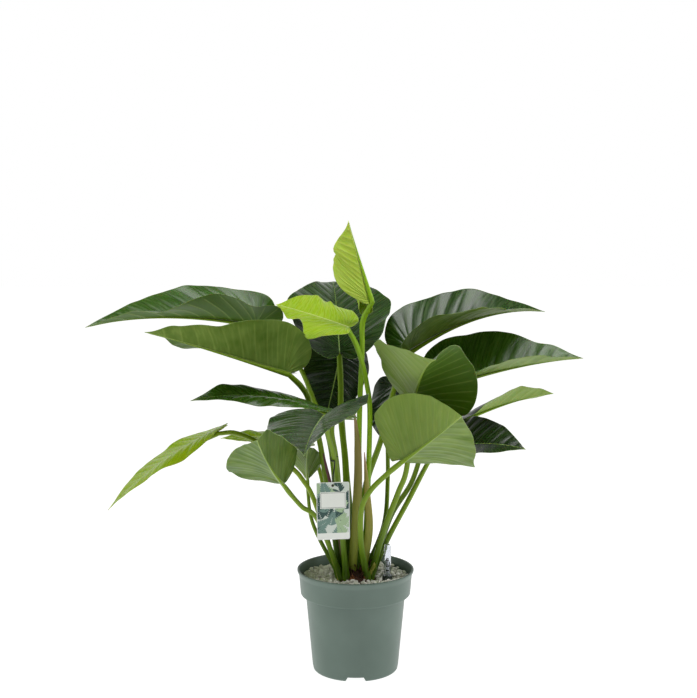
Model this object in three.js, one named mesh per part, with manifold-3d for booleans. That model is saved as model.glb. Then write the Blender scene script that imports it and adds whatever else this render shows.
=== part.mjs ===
// A philodendron with long heart-shaped leaves, standing in its grower's pot.
// Millimetres, +Z up. The origin is the centre of the pot's foot, +X is right, +Y is away from the viewer.

import * as THREE from "three";
import { mergeVertices } from "three/addons/utils/BufferGeometryUtils.js";
import Module from "manifold-3d";

const wasm = await Module();
wasm.setup();

// driving dimensions
const potHeight = 190;
const rimRadius = 108.5;
const potWall = 2.2;
const fillLevel = 174; // top of the pumice
const crownRadius = 41; // where it leaves the fill
const crownHeight = 20; // above the fill
const crownDepth = 70; // below the fill
const clearance = 0.3; // between pieces that touch
const bladeThickness = 1.4;

const rad = THREE.MathUtils.degToRad;

function material(color, roughness, extra = {}) {
  return new THREE.MeshStandardMaterial({ color, roughness, metalness: 0, ...extra });
}

const leafDark = material(0x2f4a22, 0.35);
const leafBright = material(0x6d8f1e, 0.4);
const leafLime = material(0xa8cc1c, 0.4);
const potPlastic = material(0x60716a, 0.42);
const pumice = material(0xbeb9ac, 0.95);
const crownBark = material(0x5c3a26, 0.85);
const sheathOlive = material(0x8c8436, 0.5);
const sheathMaroon = material(0x5a2430, 0.5);
const blackPlastic = material(0x17181a, 0.45);
const clearPlastic = material(0xe8eef0, 0.08, { transparent: true, opacity: 0.35 });
const floatPlastic = material(0xdfe3e6, 0.4);
const printedCard = material(0xdfe4da, 0.5);

// solids

function toSolid(geometry) {
  const bare = geometry.clone();
  bare.deleteAttribute("normal");
  bare.deleteAttribute("uv");
  const merged = mergeVertices(bare, 1e-4);
  return new wasm.Manifold(new wasm.Mesh({
    numProp: 3,
    vertProperties: new Float32Array(merged.attributes.position.array),
    triVerts: new Uint32Array(merged.index.array),
  }));
}

function toGeometry(solid) {
  const { vertProperties, triVerts } = solid.getMesh();
  const geometry = new THREE.BufferGeometry();
  geometry.setAttribute("position", new THREE.BufferAttribute(vertProperties, 3));
  geometry.setIndex(new THREE.BufferAttribute(triVerts, 1));
  geometry.computeVertexNormals();
  return geometry;
}

// Keeps the largest body of a solid, so that no loose scrap is left by a cut.
function mainBody(solid) {
  return solid.decompose().reduce((a, b) => (a.volume() > b.volume() ? a : b));
}

function geometryFrom(points, faces) {
  const geometry = new THREE.BufferGeometry();
  const numbers = points.flatMap((p) => [p.x, p.y, p.z]);
  geometry.setAttribute("position", new THREE.Float32BufferAttribute(numbers, 3));
  geometry.setIndex(faces);
  return geometry;
}

// A closed lathe solid from a profile of [radius, height] points that starts and ends on the axis.
function turned(profile, sides) {
  const points = profile.map(([r, z]) => new THREE.Vector2(r, z));
  return new THREE.LatheGeometry(points, sides).rotateX(Math.PI / 2);
}

// A tapered tube along points, with a radius for each, closed at both ends.
function taperedTube(points, radii, sides) {
  const curve = new THREE.CatmullRomCurve3(points, false, "catmullrom", 0.5);
  const last = points.length - 1;
  const rings = [];
  let normal = new THREE.Vector3(0.3, 1, 0.1);
  points.forEach((centre, i) => {
    const tangent = curve.getTangent(i / last);
    normal = normal.clone().addScaledVector(tangent, -normal.dot(tangent)).normalize();
    const side = tangent.clone().cross(normal);
    rings.push(Array.from({ length: sides }, (_, k) => {
      const angle = (2 * Math.PI * k) / sides;
      return centre.clone()
        .addScaledVector(normal, radii[i] * Math.cos(angle))
        .addScaledVector(side, radii[i] * Math.sin(angle));
    }));
  });
  const vertices = [...rings.flat(), points[0], points[last]];
  const faces = [];
  for (let i = 0; i < last; i += 1) {
    for (let k = 0; k < sides; k += 1) {
      const a = i * sides + k;
      const b = i * sides + ((k + 1) % sides);
      faces.push(a, b, b + sides, a, b + sides, a + sides);
    }
  }
  const start = rings.length * sides;
  for (let k = 0; k < sides; k += 1) {
    const next = (k + 1) % sides;
    faces.push(start, next, k, start + 1, last * sides + k, last * sides + next);
  }
  return geometryFrom(vertices, faces);
}

// leaves

// Half of a blade laid flat: along the midrib and out from it, as shares of the length and the half width.
const halfOutline = new THREE.CatmullRomCurve3([
  [0, 0], [-0.07, 0.1], [-0.135, 0.32], [-0.13, 0.62], [-0.04, 0.88], [0.12, 1],
  [0.3, 0.97], [0.5, 0.8], [0.7, 0.52], [0.86, 0.235], [0.95, 0.075], [1, 0],
].map(([x, y]) => new THREE.Vector3(x, y, 0)), false, "catmullrom", 0.5);

const outlineSteps = 220;
const outlinePoints = Array.from({ length: outlineSteps + 1 }, (_, i) => halfOutline.getPoint(i / outlineSteps));
const outlineLengths = [0];
for (let i = 1; i <= outlineSteps; i += 1) {
  const step = outlinePoints[i].clone().sub(outlinePoints[i - 1]);
  outlineLengths.push(outlineLengths[i - 1] + Math.hypot(step.x, 0.3 * step.y));
}

// A point of the outline at a share of its length, in which widths count for 0.3 of lengths.
function outlineAt(share) {
  const goal = share * outlineLengths[outlineSteps];
  const k = Math.max(1, outlineLengths.findIndex((length) => length >= goal - 1e-9));
  const part = (goal - outlineLengths[k - 1]) / (outlineLengths[k] - outlineLengths[k - 1]);
  return outlinePoints[k - 1].clone().lerp(outlinePoints[k], part);
}

// Direction, side and normal of the midrib at a share of the blade's length from its base.
function midribFrame(leaf, share) {
  const s = THREE.MathUtils.clamp(share, 0, 1);
  const heading = rad(leaf.heading + leaf.sweep * s);
  const rise = rad(leaf.rise - leaf.droop * s ** 1.3);
  const roll = rad(leaf.roll + leaf.twist * s);
  const along = new THREE.Vector3(
    Math.cos(rise) * Math.cos(heading), Math.cos(rise) * Math.sin(heading), Math.sin(rise));
  const level = new THREE.Vector3(-Math.sin(heading), Math.cos(heading), 0);
  const upright = along.clone().cross(level);
  const side = level.clone().multiplyScalar(Math.cos(roll)).addScaledVector(upright, Math.sin(roll));
  return { along, side, normal: along.clone().cross(side) };
}

function midribPoint(leaf, share) {
  const steps = 16;
  const point = new THREE.Vector3(...leaf.base);
  for (let i = 0; i < steps; i += 1) {
    const { along } = midribFrame(leaf, (share * (i + 0.5)) / steps);
    point.addScaledVector(along, (leaf.length * share) / steps);
  }
  return point;
}

// A blade point and its normal, at a flat place: share of the length, and distance out on one side.
// Each half turns up from the midrib by its fold and bends on by its curl towards the margin.
function bladePoint(leaf, sideSign, share, out) {
  const which = sideSign > 0 ? 0 : 1;
  const fold = rad(leaf.fold[which] + leaf.opening * THREE.MathUtils.clamp(share, 0, 1));
  const bend = rad(leaf.curl[which] || 0.01) / (leaf.width / 2);
  const turn = fold + bend * out;
  const { side, normal } = midribFrame(leaf, share);
  const across = (Math.sin(turn) - Math.sin(fold)) / bend;
  const above = (Math.cos(fold) - Math.cos(turn)) / bend;
  const point = midribPoint(leaf, share)
    .addScaledVector(side, sideSign * across)
    .addScaledVector(normal, above);
  const facing = normal.clone().multiplyScalar(Math.cos(turn))
    .addScaledVector(side, -sideSign * Math.sin(turn));
  return { point, facing };
}

// The margin of one half at a share of the outline: how far along and out it is, and how far it lifts.
function bladeEdge(leaf, sideSign, v) {
  const flat = outlineAt(v);
  const slant = (leaf.slant ?? [0, 0])[sideSign > 0 ? 0 : 1];
  let [lift, push] = [0, 0];
  (leaf.waves ?? []).filter(([half]) => half === sideSign).forEach(([, place, spread, lifted, pushed]) => {
    const share = Math.exp(-(((v - place) / spread) ** 2));
    lift += lifted * share;
    push += pushed * share;
  });
  return {
    along: flat.x + slant * flat.y * (1 - flat.x),
    out: flat.y * (leaf.width / 2 + push),
    lift: lift * flat.y,
  };
}

const bladeRows = 13;

// The blade as a thin shell: rows follow the side veins from the sinus to the tip.
function bladeShell(leaf) {
  const upper = [];
  const lower = [];
  const index = [];
  const bladeColumns = leaf.columns ?? 3;
  for (let i = 0; i <= bladeRows; i += 1) {
    const v = i / bladeRows;
    const start = v ** 2.3;
    const row = [];
    const single = i === 0 || i === bladeRows;
    for (let j = -bladeColumns; j <= bladeColumns; j += 1) {
      if (single && j > -bladeColumns) {
        row.push(row[0]);
      } else {
        const t = single ? 0 : Math.abs(j) / bladeColumns;
        const half = j < 0 ? 1 : -1;
        const edge = bladeEdge(leaf, half, v);
        const share = start + (edge.along - start) * t;
        const { point, facing } = bladePoint(leaf, half, share, edge.out * t);
        point.addScaledVector(facing, edge.lift * t * t);
        const normal = j === 0 || single ? midribFrame(leaf, share).normal : facing;
        row.push(upper.length);
        upper.push(point.clone().addScaledVector(normal, bladeThickness / 2));
        lower.push(point.clone().addScaledVector(normal, -bladeThickness / 2));
      }
    }
    index.push(row);
  }
  const faces = [];
  const under = upper.length;
  const add = (a, b, c) => {
    if (a !== b && b !== c && c !== a) faces.push(a, b, c);
  };
  const columns = 2 * bladeColumns;
  for (let i = 0; i < bladeRows; i += 1) {
    for (let j = 0; j < columns; j += 1) {
      const [a, b, c, d] = [index[i][j], index[i + 1][j], index[i + 1][j + 1], index[i][j + 1]];
      const flip = j < bladeColumns; // the same diagonal on both faces
      const pair = flip ? [[a, d, c], [a, c, b]] : [[a, d, b], [d, c, b]];
      pair.forEach(([p, q, r]) => {
        add(p, q, r);
        add(p + under, r + under, q + under);
      });
    }
    const [l0, l1, r0, r1] = [index[i][0], index[i + 1][0], index[i][columns], index[i + 1][columns]];
    add(l0, l1, l1 + under);
    add(l0, l1 + under, l0 + under);
    add(r0, r1 + under, r1);
    add(r0, r0 + under, r1 + under);
  }
  return geometryFrom([...upper, ...lower], faces);
}

// The petiole's centre line, from inside the crown up to the underside of the blade's base.
function petioleCurve(leaf) {
  const end = new THREE.Vector3(...leaf.base)
    .addScaledVector(midribFrame(leaf, 0).normal, -leaf.petiole[1]);
  const points = [...leaf.route.map((p) => new THREE.Vector3(...p)), end];
  return new THREE.CatmullRomCurve3(points, false, "catmullrom", 0.5);
}

function petioleRadius(leaf, share) {
  const [thick, thin] = leaf.petiole;
  return thick + (thin - thick) * share ** 0.7;
}

// Petiole and blade of one leaf, grown together: the petiole runs on under the blade as the midrib.
const petioleRings = 9;
const ribShares = [0.07, 0.22, 0.42, 0.62];

function leafSolid(leaf) {
  const curve = petioleCurve(leaf);
  const points = [];
  const radii = [];
  for (let i = 0; i <= petioleRings; i += 1) {
    const share = i / petioleRings;
    points.push(curve.getPointAt(share));
    radii.push(petioleRadius(leaf, share));
  }
  ribShares.forEach((share) => {
    const r = leaf.petiole[1] * (1 - share) ** 1.4;
    points.push(midribPoint(leaf, share).addScaledVector(midribFrame(leaf, share).normal, 0.2 - r));
    radii.push(r);
  });
  return toSolid(bladeShell(leaf)).add(toSolid(taperedTube(points, radii, 6)));
}

// One record for each leaf. Lengths in mm, angles in degrees: heading is the way the midrib points seen
// from above (0 right, 90 away), rise is its slope at the base, droop and sweep are how far it bends down
// and aside towards the tip, roll and twist turn the blade about it, and fold and curl lift the left and
// right halves. Slant leans the margins towards the tip, and each wave is [half, place on the outline,
// spread, lift, push outwards]. The route is the petiole's centre line below the blade's base.
const leaves = [
  {
    name: "leaf_left_upper", look: leafDark,
    length: 332, width: 181, heading: 188, rise: 10, droop: 24,
    sweep: -2, roll: -5, twist: -4,
    fold: [40, 37], curl: [-13, 0], opening: -9, slant: [0.06, 0.16],
    waves: [
      [1, 0.66, 0.09, -16, 0], [1, 0.42, 0.08, 12, 0], [1, 0.3, 0.05, -6, 0],
      [1, 0.18, 0.07, 20, 0], [-1, 0.14, 0.08, 46, 0],
    ],
    base: [-181, 104, 636], petiole: [6.2, 4.4],
    route: [[-27, 21, 178], [-46, 65, 399], [-79, 83, 493], [-106, 94, 555], [-138, 100, 597]],
  },
  {
    name: "leaf_left_broad", look: leafDark,
    length: 297, width: 171, heading: 222, rise: 18, droop: 2,
    sweep: -12, roll: 38, twist: -22,
    fold: [59, 55], curl: [-24, -16], opening: -22,
    waves: [[1, 0.93, 0.05, 0, 45], [1, 0.7, 0.09, 4, -20], [-1, 0.79, 0.12, -45, 10]],
    base: [-120, -49, 561], petiole: [6.2, 4.6],
    route: [[-28, -3, 178], [-63, -4, 411], [-84, -6, 498], [-97, -27, 531]],
  },
  {
    name: "leaf_left_low", look: leafDark,
    length: 262, width: 121, heading: 182, rise: 21, droop: 33,
    sweep: 10, roll: 18, twist: -45,
    fold: [23, 32], curl: [-66, -56], opening: -10,
    waves: [[1, 0.5, 0.12, -2, -13], [-1, 0.85, 0.06, 14, 14]],
    base: [-36, -71, 488], petiole: [5.6, 4.2],
    route: [[-19, -18, 178], [-32, -39, 381], [-42, -58, 455]],
  },
  {
    name: "leaf_front_down", look: leafDark,
    length: 249, width: 178, heading: -99, rise: -2, droop: 8,
    sweep: 6, roll: 10, twist: 1,
    fold: [25, 23], curl: [-27, -32], opening: 6,
    waves: [[1, 0.35, 0.08, 8, 0], [1, 0.6, 0.07, -7, 0], [-1, 0.55, 0.08, -6, 0]],
    base: [-54, -165, 502], petiole: [5.6, 4.2],
    route: [[-17, -28, 178], [-35, -89, 391], [-48, -132, 461]],
  },
  {
    name: "leaf_left_bright", look: leafBright,
    length: 240, width: 151, heading: 192, rise: -24, droop: 24,
    sweep: 2, roll: 26, twist: -18,
    fold: [6, 19], curl: [-52, 9], opening: -5, slant: [0.12, 0.12],
    waves: [[-1, 0.4, 0.09, 3, 0], [1, 0.6, 0.1, 2, -6]],
    base: [-249, -48, 455], petiole: [5.6, 4.2],
    route: [
      [-31, -14, 178], [-74, -24, 319], [-98, -34, 366],
      [-118, -41, 389], [-169, -44, 431], [-216, -47, 452],
    ],
  },
  {
    name: "leaf_left_small", look: leafBright,
    length: 161, width: 115, heading: 174, rise: 8, droop: 16,
    sweep: 4, roll: -6, twist: -12,
    fold: [4, 3], curl: [2, -30], opening: 1,
    waves: [[1, 0.5, 0.08, 4, 0], [-1, 0.4, 0.08, -5, 0]],
    base: [-95, 44, 421], petiole: [5.0, 3.8],
    route: [[-16, 12, 178], [-48, 31, 282], [-70, 48, 372]],
  },
  {
    name: "leaf_front_left", look: leafDark,
    length: 245, width: 185, heading: -100, rise: 24, droop: -10,
    sweep: 4, roll: 27, twist: 4,
    fold: [55, 51], curl: [-8, -38], opening: 12,
    waves: [[-1, 0.3, 0.07, 6, 4], [-1, 0.6, 0.08, -6, 0], [1, 0.5, 0.08, 5, 0]],
    base: [-128, -97, 369], petiole: [5.2, 4.0],
    route: [[-26, -23, 178], [-68, -53, 292], [-96, -73, 322], [-115, -86, 347]],
  },
  {
    name: "leaf_front_small", look: leafDark,
    length: 134, width: 85, heading: -92, rise: 35, droop: 3,
    sweep: 8, roll: 3, twist: 9,
    fold: [54, 59], curl: [-2, -20], opening: 6,
    base: [-89, 14, 356], petiole: [4.6, 3.0],
    route: [[-33, 7, 178], [-68, 9, 244], [-83, 10, 284], [-88, 12, 325]],
  },
  {
    name: "leaf_back_tall", look: leafDark,
    length: 285, width: 225, heading: 93, rise: 36, droop: 22,
    sweep: 1, roll: 2, twist: 1,
    fold: [38, 43], curl: [-6, -12], opening: -13,
    waves: [
      [1, 0.5, 0.07, 0, 8], [-1, 0.5, 0.07, 0, 8], [-1, 0.32, 0.06, 9, 0],
      [1, 0.2, 0.06, 8, 0], [-1, 0.12, 0.05, -8, 0], [1, 0.7, 0.08, -8, 0],
    ],
    base: [-30, 93, 582], petiole: [8.6, 5.0],
    route: [[-13, 25, 178], [-18, 62, 361], [-27, 78, 455], [-28, 88, 521]],
  },
  {
    name: "leaf_back_hanging", look: leafDark,
    length: 163, width: 128, heading: -126, rise: -70, droop: -3,
    sweep: -2, roll: -42, twist: 3,
    fold: [-5, 4], curl: [-30, -17], opening: 0,
    waves: [[1, 0.4, 0.08, 7, 0], [-1, 0.55, 0.08, 7, 0], [-1, 0.25, 0.06, -7, 0]],
    base: [-28, 125, 581], petiole: [6.0, 4.4],
    route: [[1, 30, 178], [-20, 87, 395], [-27, 110, 489]],
  },
  {
    name: "leaf_lime", look: leafLime,
    length: 178, width: 165, heading: 140, rise: 13, droop: 4,
    sweep: 5, roll: -2, twist: -10,
    fold: [5, 22], curl: [-50, -30], opening: 0, slant: [0.05, 0.35],
    waves: [
      [1, 0.25, 0.1, 5, -12], [1, 0.6, 0.15, 2, -38], [1, 0.84, 0.08, -6, -20],
      [-1, 0.4, 0.2, 0, -22], [-1, 0.78, 0.1, 0, 40], [-1, 0.91, 0.08, 0, 110],
    ],
    base: [-13, -11, 640], petiole: [5.6, 4.2],
    route: [[17, 1, 178], [26, 2, 456], [20, -14, 538], [3, -15, 603]],
  },
  {
    name: "leaf_young_rolled", look: leafLime,
    length: 152, width: 114, heading: 178, rise: 75, droop: 0,
    sweep: 0, roll: 150, twist: 5,
    fold: [0, 0], curl: [260, 90], opening: 55, slant: [0, 0.5],
    waves: [
      [-1, 0.16, 0.1, 0, 15], [-1, 0.5, 0.14, 0, -10],
      [-1, 0.84, 0.1, 0, 16], [1, 0.72, 0.22, 0, -34],
    ],
    base: [26, -15, 686], petiole: [5.8, 4.6],
    route: [[3, -3, 178], [6, 2, 410], [8, -1, 505], [12, -4, 598], [13, -4, 650]],
    columns: 6,
  },
  {
    name: "leaf_right_upper", look: leafDark,
    length: 271, width: 209, heading: -6, rise: 33, droop: 39,
    sweep: 7, roll: 10, twist: -1,
    fold: [37, 41], curl: [8, -10], opening: -23, slant: [0.05, 0.35],
    waves: [[-1, 0.28, 0.1, 0, 26], [-1, 0.75, 0.08, -8, 0], [1, 0.46, 0.1, 0, -9], [1, 0.66, 0.06, 5, 0]],
    base: [101, 73, 590], petiole: [7.4, 5.2],
    route: [[4, 18, 178], [5, 31, 254], [22, 45, 346], [48, 51, 422], [75, 66, 524]],
  },
  {
    name: "leaf_right_long", look: leafDark,
    length: 258, width: 191, heading: -6, rise: 17, droop: 13,
    sweep: 1, roll: 16, twist: -7,
    fold: [34, 30], curl: [7, -15], opening: 8,
    waves: [
      [1, 0.88, 0.05, 0, 14], [1, 0.77, 0.05, 0, -12],
      [1, 0.45, 0.08, -6, 0], [-1, 0.5, 0.12, 0, 12],
    ],
    base: [167, 30, 531], petiole: [6.0, 4.4],
    route: [[31, 10, 178], [65, 19, 281], [105, 21, 348], [130, 25, 427]],
  },
  {
    name: "leaf_front_right", look: leafDark,
    length: 276, width: 218, heading: -87, rise: 33, droop: 24,
    sweep: 4, roll: -29, twist: 45,
    fold: [31, 35], curl: [-29, -9], opening: 4,
    waves: [[1, 0.85, 0.1, 0, 30], [-1, 0.6, 0.08, 6, 0]],
    base: [101, -71, 509], petiole: [6.0, 4.4],
    route: [[28, -18, 178], [52, -33, 270], [77, -47, 342], [92, -62, 393]],
  },
  {
    name: "leaf_front_shield", look: leafDark,
    length: 261, width: 204, heading: -67, rise: 25, droop: -1,
    sweep: -5, roll: -33, twist: -25,
    fold: [37, 42], curl: [-28, -12], opening: 2,
    waves: [
      [-1, 0.1, 0.06, 0, -75], [-1, 0.2, 0.07, 4, 16], [1, 0.22, 0.08, 0, -14],
      [1, 0.42, 0.06, 0, 14], [1, 0.6, 0.08, -6, 0],
    ],
    base: [81, -115, 415], petiole: [6.0, 4.4],
    route: [[21, -25, 178], [10, -51, 247], [10, -72, 316], [25, -89, 354], [53, -102, 386]],
  },
  {
    name: "leaf_right_slim", look: leafDark,
    length: 240, width: 146, heading: 14, rise: 21, droop: 20,
    sweep: 15, roll: -25, twist: -32,
    fold: [31, 6], curl: [-5, -30], opening: -2,
    waves: [[1, 0.55, 0.08, -5, 0], [-1, 0.7, 0.07, 6, 0]],
    base: [178, 92, 442], petiole: [5.2, 3.8],
    route: [[27, 19, 178], [94, 56, 293], [131, 75, 360]],
  },
  {
    name: "leaf_right_dark", look: leafDark,
    length: 207, width: 154, heading: -40, rise: 19, droop: 26,
    sweep: 0, roll: 12, twist: 14,
    fold: [27, 9], curl: [-12, -8], opening: -4,
    waves: [[1, 0.6, 0.08, 6, 0], [-1, 0.65, 0.07, -6, -6]],
    base: [141, 14, 407], petiole: [5.8, 4.2],
    route: [[30, -2, 178], [62, 3, 248], [101, 10, 320], [133, 14, 383]],
  },
  {
    name: "leaf_right_hidden", look: leafDark,
    length: 154, width: 123, heading: -89, rise: -61, droop: -1,
    sweep: 15, roll: 46, twist: -7,
    fold: [13, 7], curl: [-24, -9], opening: 14,
    waves: [[1, 0.35, 0.07, 6, 0], [-1, 0.6, 0.08, 6, 0]],
    base: [76, 104, 522], petiole: [4.8, 3.6],
    route: [[20, 26, 178], [54, 51, 258], [62, 71, 341], [63, 92, 443]],
  },
];

// pot

// The pot's inner face from the lip down to the axis, moved inwards by a gap.
function potInside(gap) {
  const w = potWall + gap;
  return [
    [105 - w, 180], [102.4 - w, 146.8 + gap], [92.6 - w, 143.6 + gap], [80.6 - w, 14.5 + gap],
    [77 - gap, 11.5 + gap], [55 - gap, 11.5 + gap], [50 - gap, 2.5 + gap], [0, 2.5 + gap],
  ];
}

// A notch in the foot ring, wider at the floor, so that water drains from the channel behind the ring.
const notch = { top: 29, foot: 38, height: 8.3, inner: 58, reach: 30 };

function notchTool(quarter) {
  const below = 2; // how far the tool reaches under the floor
  const outline = new THREE.Shape([
    new THREE.Vector2(-notch.foot / 2 - 1, -below), new THREE.Vector2(notch.foot / 2 + 1, -below),
    new THREE.Vector2(notch.top / 2, notch.height), new THREE.Vector2(-notch.top / 2, notch.height),
  ]);
  return new THREE.ExtrudeGeometry(outline, { depth: notch.reach, bevelEnabled: false })
    .rotateX(Math.PI / 2)
    .translate(0, -notch.inner, 0)
    .rotateZ((quarter * Math.PI) / 2);
}

function potSolid() {
  const profile = [
    [0, 0], [52, 0], [57, 9], [72, 9], [74, 0], [77.8, 0], [79.7, 3.2], // foot with its channel
    [92.6, 141.2], [101, 142.6], [102.2, 144.6], [105, 178.5], [106.4, 182], // wall, step and collar
    [rimRadius, 187], [rimRadius - 0.3, potHeight - 0.5], [rimRadius - 1.5, potHeight],
    [rimRadius - 3.3, potHeight], [rimRadius - 4.3, potHeight - 1.8], // rolled lip
    ...potInside(0),
  ];
  let pot = toSolid(turned(profile, 40));
  for (let quarter = 0; quarter < 4; quarter += 1) {
    pot = pot.subtract(toSolid(notchTool(quarter)));
  }
  return mainBody(pot);
}

// fill

function random(seed) {
  let state = seed;
  return () => {
    state = (state * 1664525 + 1013904223) % 4294967296;
    return state / 4294967296;
  };
}

const fillRelief = 3; // how far the grains at the top stand above or below the level

function fillSolid(holes) {
  const inside = potInside(clearance).reverse(); // from the axis up to the lip
  const lip = inside[inside.length - 1];
  const wall = inside.slice(0, -1);
  const shoulder = wall[wall.length - 1];
  const edge = fillLevel - 1;
  const edgeRadius = shoulder[0] + ((lip[0] - shoulder[0]) * (edge - shoulder[1])) / (lip[1] - shoulder[1]);
  const rings = [12, 24, 36, 47, 58, 68, 77, 86, 94, 100];
  const profile = [
    ...wall, [edgeRadius, edge],
    ...rings.map((r) => [r, fillLevel]).reverse(), [0, fillLevel],
  ];
  const geometry = turned(profile, 40);
  const position = geometry.attributes.position;
  const next = random(7);
  const heights = new Map();
  for (let i = 0; i < position.count; i += 1) {
    const [x, y, z] = [position.getX(i), position.getY(i), position.getZ(i)];
    if (Math.abs(z - fillLevel) < 0.01) {
      const key = `${Math.round(x * 10)} ${Math.round(y * 10)}`;
      if (!heights.has(key)) heights.set(key, (2 * next() - 1) * fillRelief);
      position.setZ(i, z + heights.get(key));
    }
  }
  return mainBody(holes.reduce((fill, hole) => fill.subtract(hole), toSolid(geometry)));
}

// The crown: a low dome above the fill, with a stump that stands in a plain hole.
function crownProfile(grow) {
  const r = crownRadius + grow;
  const top = fillLevel + crownHeight + grow;
  return [
    [0, fillLevel - crownDepth - grow], [r * 0.55, fillLevel - crownDepth - grow],
    [r * 0.9, fillLevel - crownDepth * 0.6], [r, fillLevel - 12], [r, fillLevel + 2],
    [r * 0.93, fillLevel + 5], [r * 0.78, top - 10], [r * 0.5, top - 4], [0, top],
  ];
}

// water level gauge

const gauge = { x: 59, y: -14, tubeRadius: 6.4, wall: 1, bodyRadius: 7.2, top: 239, collar: fillLevel + 6 };

function gaugePlace(geometry) {
  return geometry.translate(gauge.x, gauge.y, 0);
}

function gaugeBody() {
  const r = gauge.bodyRadius;
  const bore = gauge.tubeRadius - gauge.wall;
  const top = gauge.collar;
  return gaugePlace(turned([
    [0, 30], [r - 1, 30], [r - 1, top - 16], [r + 2, top - 12], [r + 2, top],
    [bore, top], [bore, 40], [0, 40],
  ], 16));
}

function gaugeTube() {
  const r = gauge.tubeRadius;
  const start = gauge.collar + clearance;
  const top = gauge.top;
  return gaugePlace(turned([
    [r - gauge.wall, start], [r, start], [r, top - 4], [r - 2.4, top - 0.6], [0, top],
    [0, top - 1.4], [r - 3, top - 1.8], [r - gauge.wall, top - 4.6], [r - gauge.wall, start],
  ], 16));
}

function gaugeFloat() {
  const tip = gauge.top - 26;
  return gaugePlace(turned([
    [0, 40.3], [4.6, 40.3], [4.6, 70], [2.6, 73], [2.6, tip - 1], [0, tip],
  ], 10));
}

// tag and hook

const tag = { x: -40, y: -112, z: 324, width: 58, height: 104, thick: 0.9, tilt: -1, lean: 3, turn: 5 };
const tagHole = { down: 6, radius: 2.6 };
const hookWire = 1.1;
const hookHeight = 414;

function tagMatrix() {
  return new THREE.Matrix4().makeTranslation(tag.x, tag.y, tag.z)
    .multiply(new THREE.Matrix4().makeRotationFromEuler(
      new THREE.Euler(rad(tag.lean), rad(tag.tilt), rad(tag.turn), "ZYX")));
}

function tagSolid() {
  const [w, h] = [tag.width / 2, tag.height / 2];
  const card = new THREE.Shape();
  const corner = 3;
  card.moveTo(-w + corner, -h);
  card.lineTo(w - corner, -h);
  card.absarc(w - corner, -h + corner, corner, -Math.PI / 2, 0);
  card.lineTo(w, h - corner);
  card.absarc(w - corner, h - corner, corner, 0, Math.PI / 2);
  card.lineTo(-w + corner, h);
  card.absarc(-w + corner, h - corner, corner, Math.PI / 2, Math.PI);
  card.lineTo(-w, -h + corner);
  card.absarc(-w + corner, -h + corner, corner, Math.PI, 1.5 * Math.PI);
  const hole = new THREE.Path();
  hole.absarc(0, h - tagHole.down, tagHole.radius, 0, 2 * Math.PI, true);
  card.holes.push(hole);
  return new THREE.ExtrudeGeometry(card, { depth: tag.thick, bevelEnabled: false, curveSegments: 4 })
    .translate(0, 0, -tag.thick / 2).rotateX(Math.PI / 2).applyMatrix4(tagMatrix());
}

// The petiole that the tag hangs from, and the height share where the hook goes round it.
const holder = leaves.find((leaf) => leaf.name === "leaf_front_down");

function shareAtHeight(curve, height) {
  let [low, high] = [0, 1];
  for (let i = 0; i < 20; i += 1) {
    const middle = (low + high) / 2;
    if (curve.getPointAt(middle).z < height) low = middle;
    else high = middle;
  }
  return low;
}

// A thin hook: from a stub in front of the card through its hole, up behind it, and round the petiole as
// an open ring.
function hookSolid() {
  const curve = petioleCurve(holder);
  const share = shareAtHeight(curve, hookHeight);
  const centre = curve.getPointAt(share);
  const along = curve.getTangentAt(share);
  const front = new THREE.Vector3(0, -1, 0).addScaledVector(along, along.y).normalize();
  const right = front.clone().cross(along);
  const ring = petioleRadius(holder, share) + 3 * clearance + hookWire;
  const holeTop = tag.height / 2 - tagHole.down + tagHole.radius;
  const hole = new THREE.Vector3(0, 0, holeTop - hookWire - 2 * clearance).applyMatrix4(tagMatrix());
  const points = [
    hole.clone().add(new THREE.Vector3(0, -3.5, -2.5)), hole, hole.clone().add(new THREE.Vector3(0, 3.5, 3)),
    hole.clone().add(new THREE.Vector3(0.3, 5, 14)),
    centre.clone().addScaledVector(front, ring + 0.5).add(new THREE.Vector3(-0.5, 0, -12)),
  ];
  for (let turn = 0; turn <= 250; turn += 25) {
    points.push(centre.clone()
      .addScaledVector(front, ring * Math.cos(rad(turn)))
      .addScaledVector(right, ring * Math.sin(rad(turn)))
      .addScaledVector(along, 0.01 * turn));
  }
  return taperedTube(points, points.map(() => hookWire), 6);
}

// cataphylls: the sheaths that wrapped younger leaves

const sheaths = [
  {
    name: "cataphyll_center", look: sheathOlive, radii: [8.0, 8.4, 6.6, 0.8],
    route: [[-7, -12, 178], [3, -19, 322], [4, -28, 417], [-3, -40, 496]],
  },
  {
    name: "cataphyll_right", look: sheathOlive, radii: [6.5, 7.2, 5.5, 0.8],
    route: [[12, -11, 178], [25, -15, 265], [21, -18, 341], [16, -22, 412]],
  },
  {
    name: "cataphyll_left", look: sheathMaroon, radii: [4, 3.4, 2.4, 0.7],
    route: [[-18, -9, 178], [-40, -20, 322], [-54, -34, 390], [-59, -45, 415]],
  },
];

function sheathSolid(sheath) {
  const curve = new THREE.CatmullRomCurve3(
    sheath.route.map((p) => new THREE.Vector3(...p)), false, "catmullrom", 0.5);
  const rings = 9;
  const last = sheath.radii.length - 1;
  const points = [];
  const radii = [];
  for (let i = 0; i <= rings; i += 1) {
    const place = (last * i) / rings;
    const k = Math.min(Math.floor(place), last - 1);
    points.push(curve.getPoint(i / rings));
    radii.push(THREE.MathUtils.lerp(sheath.radii[k], sheath.radii[k + 1], place - k));
  }
  return taperedTube(points, radii, 8);
}

// assembly

const group = new THREE.Group();

function put(name, geometry, look) {
  const mesh = new THREE.Mesh(geometry, look);
  mesh.name = name;
  group.add(mesh);
}

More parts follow.
